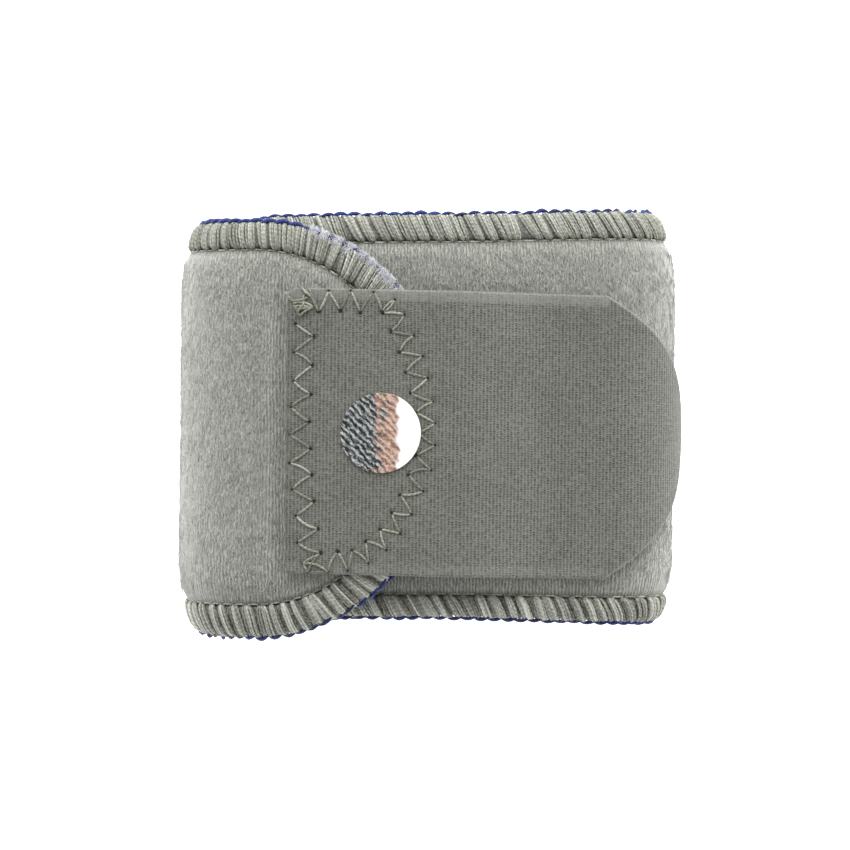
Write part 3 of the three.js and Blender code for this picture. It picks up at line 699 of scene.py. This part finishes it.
def makeFluff():  # pale fibre ends in tufts along the flap's bare crest, and hairs of yarn on the rims
    count = round(line["length"] / overlock["pitch"])
    start = np.arange(count) * line["length"] / count
    bare = start[bareShare(start) > 0.5]
    inClump = np.repeat(bare + 0.25 * randomDraw.standard_normal(len(bare)), overlock["clumpFibres"])
    inClump = inClump + 0.33 * randomDraw.standard_normal(len(inClump))
    loose = randomDraw.uniform(0, line["length"], round(line["length"] * overlock["loosePerMm"]))
    worn = randomDraw.uniform(0, line["length"], round(line["length"] * overlock["fuzzPerMm"]))
    worn = worn[(line["at"](worn)[1] < -10) & (line["at"](worn)[0] > 15)]
    rings = 4
    way = np.linspace(0, 1, rings)
    shape = threadShape(3, rings)

    def layHairs(name, run, around, tall, level, material):
        count = len(run)
        around, tall = around[:, None], tall[:, None]
        ahead = run[:, None] + 0.42 * randomDraw.standard_normal((count, 1)) * way
        ahead = ahead + 0.22 * randomDraw.standard_normal((count, 1)) * way ** 2
        leaning = around + 0.12 * randomDraw.standard_normal((count, 1)) * way
        points, outward = onRoll(ahead, np.clip(leaning, -0.9, 0.9), level + tall * way ** 0.8)
        shades = np.clip(0.5 + 0.18 * randomDraw.standard_normal(count), 0, 1)
        radii = np.broadcast_to(np.array([1, 1, 0.85, 0.4]) * overlock["fluffRadius"], (count, rings))
        piece = layThreads(name, shape, points, outward, radii, material, shades)
        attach(piece, "root")
        print(name, count)

    fluffy = makeFibreMaterial("polyesterFluff", overlock["fluffColors"])
    hairy = makeFibreMaterial("rubbedYarnHair", overlock["hairColors"])
    around = 0.07 + 0.09 * randomDraw.standard_normal(len(inClump))
    tall = randomDraw.uniform(0.16, 0.50, len(inClump)) * (1 + 1.0 * np.exp(-((around - 0.04) / 0.12) ** 2))
    layHairs("crestFluff", inClump, around, tall, -0.06, fluffy)
    run = np.concatenate([loose, worn])
    around = np.concatenate([0.04 + 0.09 * randomDraw.standard_normal(len(loose)),
                             randomDraw.uniform(0.0, 0.8, len(worn))])  # on the lower rim they lie all over it
    level = np.concatenate([np.full(len(loose), -0.06), np.full(len(worn), 0.05)])[:, None]
    layHairs("rimHairs", run, around, randomDraw.uniform(0.08, 0.34, len(run)), level, hairy)


strap = {
    "width": 50.0, "thickness": 1.4, "seat": 28.0, "straight": 56.8, "endLength": 20.0, "tipDrift": 0.8,
    "corner": 1.6, "overhang": 1.2, "stepRun": 19.0, "offset": -0.95, "skew": 1.25, "gap": 0.3,
    "step": 0.42, "columns": 112,
    "rim": [(0.0, 0.46, 0.18), (0.07, 0.58, 0.10), (0.2, 0.66, 0.0), (0.5, 0.70, -0.06)],  # in, top, bottom
    "weave": {"rib": 0.63, "pick": 0.42, "selvedge": 1.9},  # the real picks are 0.35 mm, too fine for the picture
    "colors": ("#383933", "#5b5c55", "#7d7e77"), "cutHighlightColor": "#9c9d97", "bump": 0.14,
    "sink": {"seam": (0.10, 1.3), "hole": (0.14, 0.6), "end": (0.26, 1.5)},  # depth and width that the face sinks
}
strap["lift"] = loopShape["thickness"] / 2 + strap["gap"] + strap["thickness"] / 2


def strapMiddleAt(along):
    level, low = path["over"] + strap["lift"], path["under"] + strap["lift"]
    startTurn = path["tipTurn"] - strap["seat"] / path["over"]
    heading = startTurn + along / level
    stepStart = strap["seat"] + strap["overhang"]
    down = np.clip((along - stepStart) / strap["stepRun"], 0, 1)
    radius = level + (low - level) * down * down * (3 - 2 * down)
    x, z = path["crown"][0] + radius * np.sin(heading), path["crown"][1] + radius * np.cos(heading)
    bendStart = (path["rightTurn"] - startTurn) * level
    bend = path["rightRadius"] + strap["lift"]
    turn = path["rightTurn"] + (along - bendStart) / bend
    past = along > bendStart
    return (np.where(past, path["right"][0] + bend * np.sin(turn), x),
            np.where(past, path["right"][1] + bend * np.cos(turn), z))


def wrapStrap(along, across, height):
    x, z = strapMiddleAt(along)
    aheadX, aheadZ = strapMiddleAt(along + 0.05)
    behindX, behindZ = strapMiddleAt(along - 0.05)
    wayX, wayZ = aheadX - behindX, aheadZ - behindZ
    size = np.hypot(wayX, wayZ)
    y = strap["offset"] + across - along * math.tan(math.radians(strap["skew"]))
    return placed(x - wayZ / size * height, y, z + wayX / size * height)


def strapOutline(step, columns):
    half, corner = strap["width"] / 2, strap["corner"]
    turn = np.linspace(0, math.pi / 2, 6)
    straight = np.linspace(corner, strap["straight"], round((strap["straight"] - corner) / step))[1:]
    share = np.linspace(1, 0, round(34 / step))[1:-1]
    out = 1 - share ** 2
    along = np.concatenate([corner * (1 - np.cos(turn)), straight, strap["straight"] + strap["endLength"] * out])
    across = np.concatenate([half - corner * (1 - np.sin(turn)), np.full(len(straight), half), half * share])
    drift = np.concatenate([np.zeros(len(turn) + len(straight)), strap["tipDrift"] * out])
    cut = np.concatenate([np.zeros(len(turn) + len(straight)), np.ones(len(share))])
    upper = np.stack([along, across + drift, cut], axis=1)
    lower = np.stack([along, drift - across, cut], axis=1)
    apex = np.array([[strap["straight"] + strap["endLength"], strap["tipDrift"], 1.0]])
    row = (np.arange(1, columns - 1) / (columns - 1))[:, None]
    start = lower[0] * (1 - row) + upper[0] * row
    return roundOf(np.concatenate([upper, apex, lower[::-1], start]), len(upper), columns)


seam = {
    "holes": [  # needle holes of the zigzag on the strap, once round: along, across
        (2.8, 24.9), (5.5, 20.9), (7.2, 24.6), (9.3, 21.2), (11.1, 24.7), (12.8, 20.9), (15.1, 24.5), (16.6, 21.1),
        (18.8, 23.3), (16.8, 20.9), (20.5, 20.7), (18.2, 17.7), (22.2, 17.1), (19.7, 14.1), (23.8, 13.5), (20.8, 10.6),
        (24.7, 9.7), (21.7, 7.0), (25.7, 5.6), (22.7, 3.6), (26.1, 1.8), (23.3, 0.0), (26.1, -2.0), (22.8, -3.9),
        (25.5, -6.4), (21.5, -7.3), (24.1, -10.1), (20.1, -10.8), (22.1, -14.2), (18.7, -14.0), (20.2, -17.6),
        (16.7, -16.9), (17.8, -20.5), (14.2, -19.1), (14.7, -22.9), (11.8, -20.7), (11.1, -24.3), (9.3, -21.0),
        (7.6, -24.6), (4.1, -24.8), (3.2, -23.2), (6.3, -21.3), (2.2, -19.6), (5.8, -17.1), (1.9, -14.9), (5.0, -12.3),
        (1.2, -10.3), (4.6, -7.7), (0.6, -5.7), (4.3, -3.1), (0.5, -0.7), (4.0, 1.6), (0.8, 4.1), (4.3, 6.4),
        (1.2, 8.7), (4.5, 11.5), (1.2, 13.7), (4.7, 16.5), (1.4, 18.7)],
    "tack": [  # lays of the bar tack at the corner: from, to, height over the tape
        ((-0.4, 24.3), (1.2, 22.5), 0.0), ((1.0, 22.3), (4.5, 21.8), 0.05), ((1.1, 21.8), (4.5, 21.7), 0.12),
        ((1.3, 21.3), (4.4, 21.6), 0.18), ((1.2, 22.7), (3.6, 23.4), 0.22), ((2.1, 19.9), (4.5, 21.6), 0.26),
        ((1.2, 22.0), (2.3, 20.0), 0.30), ((2.9, 23.9), (3.3, 21.0), 0.16), ((2.6, 25.0), (4.2, 23.5), 0.34),
        ((3.9, 24.8), (5.4, 21.0), 0.08), ((1.6, 20.4), (3.1, 22.6), 0.36)],
    "repeat": [(4.1, -24.8), (6.0, -21.6), (3.2, -23.2), (7.6, -24.6)],  # stitched twice where the line turns
    "radius": 0.21, "holeRadius": 0.35, "colors": ("#4a4b3f", "#7b7c6f", "#b2b3a5"),
}


def makeTapeMaterial():
    # woven nylon hook tape seen from its back: fine warp ribs with dark cells between, smooth selvedges, a heat-cut
    # end with a painted highlight along it, and painted shade round the needle holes and at the sewn end
    weave, colors = strap["weave"], strap["colors"]
    material, tree, bsdf = startMaterial("wovenNylonTape", Roughness=0.8, Sheen_Weight=0.12, Sheen_Roughness=0.45)
    uv = addNode(tree, "UVMap", uv_map="UVMap")
    margin, cut, pit = (addNode(tree, "Attribute", out="Fac", attribute_name=key) for key in ("margin", "cut", "pit"))
    alongX = addNode(tree, "SeparateXYZ", {"Vector": uv})
    acrossY = addNode(tree, "SeparateXYZ", {"Vector": uv}, out=1)
    grains = []
    for size, detail in ((2.2, 1.0), (0.5, 2.0), (8.0, 2.0)):
        spread = addNode(tree, "Mapping", {"Vector": uv, "Scale": (1 / size, 1 / size, 1)})
        grains.append(addNode(tree, "TexNoise", {"Vector": spread, "Scale": 1.0, "Detail": detail},
                              noise_dimensions="2D"))
    wobble, grain, drift = grains
    ribTurn = addNode(tree, "Math", {0: alongX, 1: 2 * math.pi / weave["rib"], 2: wobble}, operation="MULTIPLY_ADD")
    halfTurn = addNode(tree, "Math", {0: ribTurn, 1: 0.5}, operation="MULTIPLY")
    halfTurn = addNode(tree, "Math", {0: halfTurn}, operation="SINE")
    parity = addNode(tree, "Math", {0: halfTurn}, operation="SIGN")  # picks pass over every other rib
    bend = addNode(tree, "Math", {0: wobble, 1: 6.0}, operation="MULTIPLY")
    pickTurn = addNode(tree, "Math", {0: acrossY, 1: 2 * math.pi / weave["pick"], 2: bend}, operation="MULTIPLY_ADD")
    pickTurn = addNode(tree, "Math", {0: parity, 1: 0.7, 2: pickTurn}, operation="MULTIPLY_ADD")
    counts = []
    for turn in (ribTurn, pickTurn):  # number of the cell in either direction
        share = addNode(tree, "Math", {0: turn, 1: 1 / (2 * math.pi)}, operation="MULTIPLY")
        counts.append(addNode(tree, "Math", {0: share}, operation="FLOOR"))
    spot = addNode(tree, "CombineXYZ", {"X": counts[0], "Y": counts[1]})
    each = addNode(tree, "TexWhiteNoise", {"Vector": spot}, noise_dimensions="2D")  # no two cells are alike
    rib = addNode(tree, "Math", {0: halfTurn}, operation="ABSOLUTE")
    pick = halfWave(tree, pickTurn)
    cell = addNode(tree, "Math", {0: pick, 1: -0.65, 2: 1.0}, operation="MULTIPLY_ADD")
    varied = addNode(tree, "Math", {0: each, 1: 0.7, 2: 0.5}, operation="MULTIPLY_ADD")
    cell = addNode(tree, "Math", {0: cell, 1: varied}, operation="MULTIPLY")
    gap = addNode(tree, "Math", {0: rib, 1: cell}, operation="MULTIPLY")  # 0 on a rib, 1 deep in a cell
    flat = addNode(tree, "MapRange", {"Value": margin, "From Min": 0.0, "From Max": 1.0, "To Min": 1.0, "To Max": 0.45})
    depth = addNode(tree, "Math", {0: gap, 1: flat}, operation="MULTIPLY")
    tone = addNode(tree, "Math", {0: depth, 1: -0.50, 2: 0.66}, operation="MULTIPLY_ADD")
    tone = addNode(tree, "Math", {0: grain, 1: 0.5, 2: tone}, operation="MULTIPLY_ADD")
    tone = addNode(tree, "Math", {0: margin, 1: 0.10, 2: tone}, operation="MULTIPLY_ADD")
    color = addNode(tree, "ValToRGB", {"Fac": tone}, stops=[(0.34, colors[0]), (0.66, colors[1]), (1.0, colors[2])])
    # painted highlight: the cut end's rim is mixed towards a light grey
    cutHighlight = addNode(tree, "Math", {0: cut, 1: 0.55}, operation="MULTIPLY")
    color = addNode(tree, "Mix", {"Factor": cutHighlight, "A": color, "B": linear(strap["cutHighlightColor"])}, "Result",
                    data_type="RGBA")
    cloud = addNode(tree, "MapRange", {"Value": drift, "From Min": 0.3, "From Max": 0.7, "To Min": 0.95,
                                       "To Max": 1.05})
    # painted shade from the pit attribute: darker round the needle holes and at the sewn end
    shade = addNode(tree, "Math", {0: pit, 1: cloud}, operation="MULTIPLY")
    color = addNode(tree, "VectorMath", {"Vector": color, "Scale": shade}, operation="SCALE")
    height = addNode(tree, "Math", {0: depth, 1: -1.0, 2: 1.0}, operation="MULTIPLY_ADD")
    finishMaterial(tree, bsdf, color, height, strap["bump"])
    return material


def tapeTop(along, across):
    # height of the tape's face, which sinks along the seam, at each needle hole and at the sewn end, and the distance
    # to the nearest hole
    holes = np.array(seam["holes"])
    stitchLine = np.concatenate([holes[:-1] * (1 - s) + holes[1:] * s for s in (0.0, 0.25, 0.5, 0.75)])
    near, pit = (np.full(len(along), 99.0) for _ in range(2))
    for spot in stitchLine:
        near = np.minimum(near, np.hypot(along - spot[0], across - spot[1]))
    for hole in holes:
        pit = np.minimum(pit, np.hypot(along - hole[0], across - hole[1]))
    soft = 0.06 * np.sin(along / 4.1 + across / 9) * np.cos(across / 6.3) + 0.05 * np.sin(across / 3.4 + along / 11)
    soft *= np.clip((strap["straight"] - along) / 10, 0.3, 1)
    (seamDip, seamWidth), (holeDip, holeWidth), (endDip, endWidth) = strap["sink"].values()
    dip = seamDip * np.exp(-(near / seamWidth) ** 2) + holeDip * np.exp(-(pit / holeWidth) ** 2)
    return strap["thickness"] / 2 + soft - dip - endDip * np.exp(-np.maximum(along, 0) / endWidth), pit


def makeStrap():
    outline = strapOutline(strap["step"], strap["columns"])
    rim = strap["rim"]
    distances = [row[0] for row in rim]
    along, across, reach = sheetPoints(outline, distances)
    rings, count = len(distances), len(outline["along"])
    face, pit = tapeTop(along, across)
    sunk = face - strap["thickness"] / 2
    top = np.interp(reach, distances, [row[1] for row in rim]) + sunk
    bottom = np.interp(reach, distances, [row[2] for row in rim]) + np.minimum(sunk * 0.5, 0.06)
    bottom = np.minimum(bottom, top - 0.12)
    vertices = np.stack([wrapStrap(along, across, top), wrapStrap(along, across, bottom)], axis=1).reshape(-1, 3)
    faces = sheetFaces(outline, rings)[0]
    fromSide = strap["width"] / 2 - np.abs(across)
    margin = np.clip((strap["weave"]["selvedge"] - fromSide) / 0.3 + 0.5, 0, 1) * (along < strap["straight"] + 0.3)
    margin *= np.where(across > 0, 1.0, 0.4)  # the lower one is drawn only a little lighter than the tape
    cutEdge = np.concatenate([np.tile(outline["edge"], rings), np.zeros(len(along) - rings * count)])
    cut = cutEdge * np.clip(1 - reach / 0.45, 0, 1)
    # painted shade: darker round each needle hole and at the sewn end, where the tape sinks into the fabric
    dark = (1 - 0.35 * np.exp(-(pit / 0.6) ** 2)) * (1 - 0.25 * np.exp(-np.maximum(along, 0) / 0.6))
    attributes = {"margin": np.repeat(margin, 2), "cut": np.repeat(cut, 2), "pit": np.repeat(dark, 2)}
    uv = np.repeat(np.stack([along, across], axis=1), 2, axis=0)
    piece = makePiece("hookStrap", vertices, faces, [makeTapeMaterial()], uv, attributes)
    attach(piece, "root")
    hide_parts("hook_strap")


def makeSeam():
    thread = makeThreadMaterial("spunPolyesterSeamThread", seam["colors"])
    rings = 9
    shape = threadShape(6, rings)
    way = np.linspace(0, 1, rings)
    holes = [np.array(hole) for hole in seam["holes"]]
    again = [np.array(hole) for hole in seam["repeat"]]
    starts = holes[:-1] + again[:-1] + [np.array(lay[0]) for lay in seam["tack"]]
    ends = holes[1:] + again[1:] + [np.array(lay[1]) for lay in seam["tack"]]
    heights = [0.0] * (len(holes) - 1) + [0.10] * (len(again) - 1) + [lay[2] for lay in seam["tack"]]
    starts, ends, heights = np.array(starts), np.array(ends), np.array(heights)
    spots = starts[:, None] * (1 - way[:, None]) + ends[:, None] * way[:, None]
    side = (ends - starts)[:, ::-1] * np.array([1, -1])
    bow = np.sin(math.pi * way)
    spots = spots + side[:, None] * (0.05 * randomDraw.standard_normal((len(starts), 1, 1))) * bow[:, None]
    face = tapeTop(spots[..., 0].ravel(), spots[..., 1].ravel())[0].reshape(spots.shape[:2])
    sunk = np.clip(1 - 4 * np.minimum(way, 1 - way), 0, 1) * (heights[:, None] == 0)
    lift = face - 0.30 * sunk + 0.10 + bow ** 0.5 * heights[:, None]
    points = wrapStrap(spots[..., 0], spots[..., 1], lift)
    ups = wrapStrap(spots[..., 0], spots[..., 1], lift + 0.2) - points
    radii = seam["radius"] * (1 + 0.06 * randomDraw.standard_normal((len(starts), 1))) * (0.72 + 0.28 * bow ** 0.5)
    shades = 0.06 * randomDraw.standard_normal(len(starts)) + 0.02
    piece = layThreads("zigzagSeam", shape, points, ups, radii, thread, shades)
    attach(piece, "root")
    print("seam stitches:", len(starts))


def makeHoles():  # each needle hole: a small bowl coloured near-black, painted shade in the hole where the thread goes in
    material, tree, bsdf = startMaterial("holeShadeBowl", Roughness=1.0, Specular_IOR_Level=0.1)
    where = addNode(tree, "TexCoord", out="Object")
    fuzz = addNode(tree, "TexNoise", {"Vector": where, "Scale": 3000.0, "Detail": 2.0})
    color = addNode(tree, "ValToRGB", {"Fac": fuzz}, stops=[(0.3, "#1d1d19"), (0.7, "#3e3e37")])
    finishMaterial(tree, bsdf, color, fuzz, 0.05)
    bpy.ops.mesh.primitive_cylinder_add(vertices=10, radius=seam["holeRadius"], depth=0.3, end_fill_type="NGON")
    bowl = bpy.context.object
    bpy.ops.object.mode_set(mode="EDIT")
    bpy.ops.mesh.select_all(action="DESELECT")
    bpy.ops.object.mode_set(mode="OBJECT")
    for face in bowl.data.polygons:
        face.select = face.normal.z > 0.9
    bpy.ops.object.mode_set(mode="EDIT")
    bpy.ops.mesh.inset(thickness=seam["holeRadius"] * 0.35, depth=0.03)
    bpy.ops.mesh.inset(thickness=seam["holeRadius"] * 0.3, depth=-0.04)
    bpy.ops.object.mode_set(mode="OBJECT")
    spots = np.array([vertex.co[:] for vertex in bowl.data.vertices])
    faces = [list(face.vertices) for face in bowl.data.polygons]
    bpy.data.objects.remove(bowl, do_unlink=True)
    vertices, allFaces = [], []
    holes = np.array(seam["holes"])
    fromMiddle = np.hypot(*(holes - (13, 0)).T)
    inner = fromMiddle < (np.roll(fromMiddle, 1) + np.roll(fromMiddle, -1)) / 2  # the thread pulls hardest on these
    for hole, wide in zip(holes, np.where(inner, 1.0, 0.62)):
        stretch = wide * (1 + 0.15 * randomDraw.standard_normal(2))
        allFaces += [[v + len(vertices) * len(spots) for v in face] for face in faces]
        level = tapeTop(np.array([hole[0]]), np.array([hole[1]]))[0] - 0.07
        along, across = hole[0] + spots[:, 0] * stretch[0], hole[1] + spots[:, 1] * stretch[1]
        vertices.append(wrapStrap(along, across, level + spots[:, 2]))
    piece = makePiece("needleHoles", np.concatenate(vertices), allFaces, [material])
    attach(piece, "root")


seal = {
    "diameter": 14.0, "thickness": 0.25, "gap": 0.12, "setback": 11.4, "offset": -1.4,
    "silver": ("#0b0d10", "#5c6062", "#c3c7c5"), "copper": ("#5b443d", "#a98373", "#d3bdad"), "paintedGlare": "#fffefc",
}


def makeFoilMaterial():
    # metallised polyester film with a plain guilloche: dark and silver waves, copper ones, and a near-white part
    # painted as the lamp's reflection
    material, tree, bsdf = startMaterial("metallisedFilm", Roughness=0.32, Metallic=0.1, Coat_Weight=0.25)
    uv = addNode(tree, "UVMap", uv_map="UVMap")
    acrossFoil = addNode(tree, "SeparateXYZ", {"Vector": uv})
    turned = addNode(tree, "Mapping", {"Vector": uv, "Rotation": (0, 0, math.radians(42))})
    waves = addNode(tree, "TexWave", {"Vector": turned, "Scale": 0.31, "Distortion": 9.0, "Detail": 3.0,
                                      "Detail Scale": 0.8, "Detail Roughness": 0.75}, "Fac", bands_direction="Y")
    stretched = addNode(tree, "Mapping", {"Vector": turned, "Scale": (1.1, 3.4, 1)})
    fine = addNode(tree, "TexNoise", {"Vector": stretched, "Scale": 1.0, "Detail": 3.0, "Distortion": 1.5},
                   noise_dimensions="2D")
    patch = addNode(tree, "TexNoise", {"Vector": uv, "Scale": 0.45, "Detail": 2.0}, noise_dimensions="2D")
    mixed = addNode(tree, "Math", {0: fine, 1: 1.1}, operation="MULTIPLY")
    mixed = addNode(tree, "Math", {0: waves, 1: 0.30, 2: mixed}, operation="MULTIPLY_ADD")
    dark, mid, light = seal["silver"]
    silver = addNode(tree, "ValToRGB", {"Fac": mixed}, stops=[(0.58, dark), (0.72, mid), (0.92, light)])
    dark, mid, light = seal["copper"]
    copper = addNode(tree, "ValToRGB", {"Fac": mixed}, stops=[(0.44, dark), (0.62, mid), (0.9, light)])
    edge = addNode(tree, "Math", {0: patch, 1: 6.0, 2: acrossFoil}, operation="MULTIPLY_ADD")
    toCopper = addNode(tree, "MapRange", {"Value": edge, "From Min": 2.0, "From Max": 3.6})
    ripple = addNode(tree, "Math", {0: patch, 1: 1.6, 2: acrossFoil}, operation="MULTIPLY_ADD")
    # painted reflection: a near-white patch stands for the lamp's glare on the film
    toPaintedGlare = addNode(tree, "MapRange", {"Value": ripple, "From Min": 3.5, "From Max": 4.0})
    color = addNode(tree, "Mix", {"Factor": toCopper, "A": silver, "B": copper}, "Result", data_type="RGBA")
    color = addNode(tree, "Mix", {"Factor": toPaintedGlare, "A": color, "B": linear(seal["paintedGlare"])}, "Result",
                    data_type="RGBA")
    finishMaterial(tree, bsdf, color, waves, 0.02)
    return material


def makeSeal():
    radius = seal["diameter"] / 2
    bpy.ops.mesh.primitive_cylinder_add(vertices=72, radius=radius, depth=seal["thickness"], end_fill_type="NGON")
    piece = bpy.context.object
    piece.name = piece.data.name = "foilSeal"
    bpy.ops.object.mode_set(mode="EDIT")
    bpy.ops.mesh.select_all(action="DESELECT")
    bpy.ops.object.mode_set(mode="OBJECT")
    for face in piece.data.polygons:
        face.select = abs(face.normal.z) > 0.9
    bpy.ops.object.mode_set(mode="EDIT")
    bpy.ops.mesh.inset(thickness=0.06, depth=0.03)
    for _ in range(6):
        bpy.ops.mesh.inset(thickness=radius / 7, depth=0)
    bpy.ops.object.mode_set(mode="OBJECT")
    spots = np.array([vertex.co[:] for vertex in piece.data.vertices])
    along = strap["seat"] - seal["setback"] + spots[:, 0]
    across = seal["offset"] - strap["offset"] + spots[:, 1] + along * math.tan(math.radians(strap["skew"]))
    lift = strap["thickness"] / 2 + seal["gap"] + seal["thickness"] / 2
    points = wrapStrap(along, across, lift + spots[:, 2])
    layer = piece.data.uv_layers.active or piece.data.uv_layers.new(name="UVMap")
    layer.name = "UVMap"
    corners = np.array([loop.vertex_index for loop in piece.data.loops])
    layer.data.foreach_set("uv", spots[corners][:, :2].astype(np.float32).ravel())
    piece.data.vertices.foreach_set("co", points.astype(np.float32).ravel())
    piece.data.materials.append(makeFoilMaterial())
    piece.data.update()
    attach(piece, "root")
    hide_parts("foil_seal")


studio = {
    "frameWidth": 0.153, "distance": 0.700, "level": 0.015, "axis": (-0.0010, -0.00027),
    "dome": {"horizon": 1.4, "zenith": 0.36, "front": 0.42, "back": 1.1, "ends": 1.6},  # light all round, least ahead
    "keyBox": {"place": (0.08, 0.92, 0.62), "size": 0.7, "power": 10.5},
    "table": {"size": 6, "drop": 0.0002, "colors": ("#f7f7f7", "#fafafa"), "glow": 1.1}, "sensor": 36,
}


def makeStudio():
    table = studio["table"]
    bpy.ops.mesh.primitive_plane_add(size=table["size"], location=(0, 0, -table["drop"]))
    floor = bpy.context.object
    floor.name = "studioFloor"
    # white acrylic table, faintly lit from below as product tables are, so that the shadow stays thin
    material, tree, bsdf = startMaterial("whiteAcrylicTable", Roughness=0.9, Emission_Color=(1, 1, 1, 1),
                                         Emission_Strength=table["glow"])
    where = addNode(tree, "TexCoord", out="Object")
    soft = addNode(tree, "TexNoise", {"Vector": where, "Scale": 3.0})
    color = addNode(tree, "ValToRGB", {"Fac": soft}, stops=[(0.3, table["colors"][0]), (0.7, table["colors"][1])])
    finishMaterial(tree, bsdf, color, soft, 0.01)
    floor.data.materials.append(material)

    dome = studio["dome"]
    world = bpy.data.worlds.new("studioWorld")
    bpy.context.scene.world = world
    world.use_nodes = True
    tree = world.node_tree
    toward = addNode(tree, "TexCoord", out="Generated")
    height = addNode(tree, "SeparateXYZ", {"Vector": toward}, out=2)
    depth = addNode(tree, "SeparateXYZ", {"Vector": toward}, out=1)
    level = addNode(tree, "MapRange", {"Value": height, "From Min": 0.05, "From Max": 0.9, "To Min": dome["horizon"],
                                       "To Max": dome["zenith"]})
    side = addNode(tree, "MapRange", {"Value": depth, "From Min": -0.8, "From Max": 0.6, "To Min": dome["front"],
                                      "To Max": dome["back"]})
    width = addNode(tree, "SeparateXYZ", {"Vector": toward})
    ends = addNode(tree, "Math", {0: addNode(tree, "Math", {0: width, 1: width}, operation="MULTIPLY"), 1: dome["ends"],
                                  2: side}, operation="MULTIPLY_ADD")
    strength = addNode(tree, "Math", {0: level, 1: ends}, operation="MULTIPLY")
    tree.links.new(strength, tree.nodes["Background"].inputs["Strength"])
    tree.nodes["Background"].inputs["Color"].default_value = (1, 1, 1, 1)
    bpy.ops.object.light_add(type="AREA", location=studio["keyBox"]["place"])
    light = bpy.context.object
    light.name = "keyBox"
    light.data.size = studio["keyBox"]["size"]
    light.data.energy = studio["keyBox"]["power"]
    light.rotation_euler = (-light.location.normalized()).to_track_quat("-Z", "Y").to_euler()
    bpy.ops.object.camera_add(location=(*studio["axis"], studio["level"] + studio["distance"]), rotation=(0, 0, 0))
    camera = bpy.context.object
    camera.name = "topCamera"
    camera.data.sensor_width = studio["sensor"]
    camera.data.lens = studio["sensor"] * studio["distance"] / studio["frameWidth"]
    camera.data.clip_start = 0.01
    camera.data.clip_end = 20
    bpy.context.scene.camera = camera
    bpy.context.scene.view_settings.view_transform = "Standard"


makeStudio()
print("studio ready")
makeBand()
makeFibres()
print("band ready")
makeRoll()
makeStitches(makeThreadMaterial("greyOverlockYarn", overlock["grey"], 0.8),
             makeThreadMaterial("blueOverlockYarn", overlock["blue"]),
             makeThreadMaterial("greyNeedleThread", overlock["needle"]))
makeFluff()
print("overlocked edge ready")
makeStrap()
makeHoles()
makeSeam()
print("strap ready")
makeSeal()
print("seal ready")
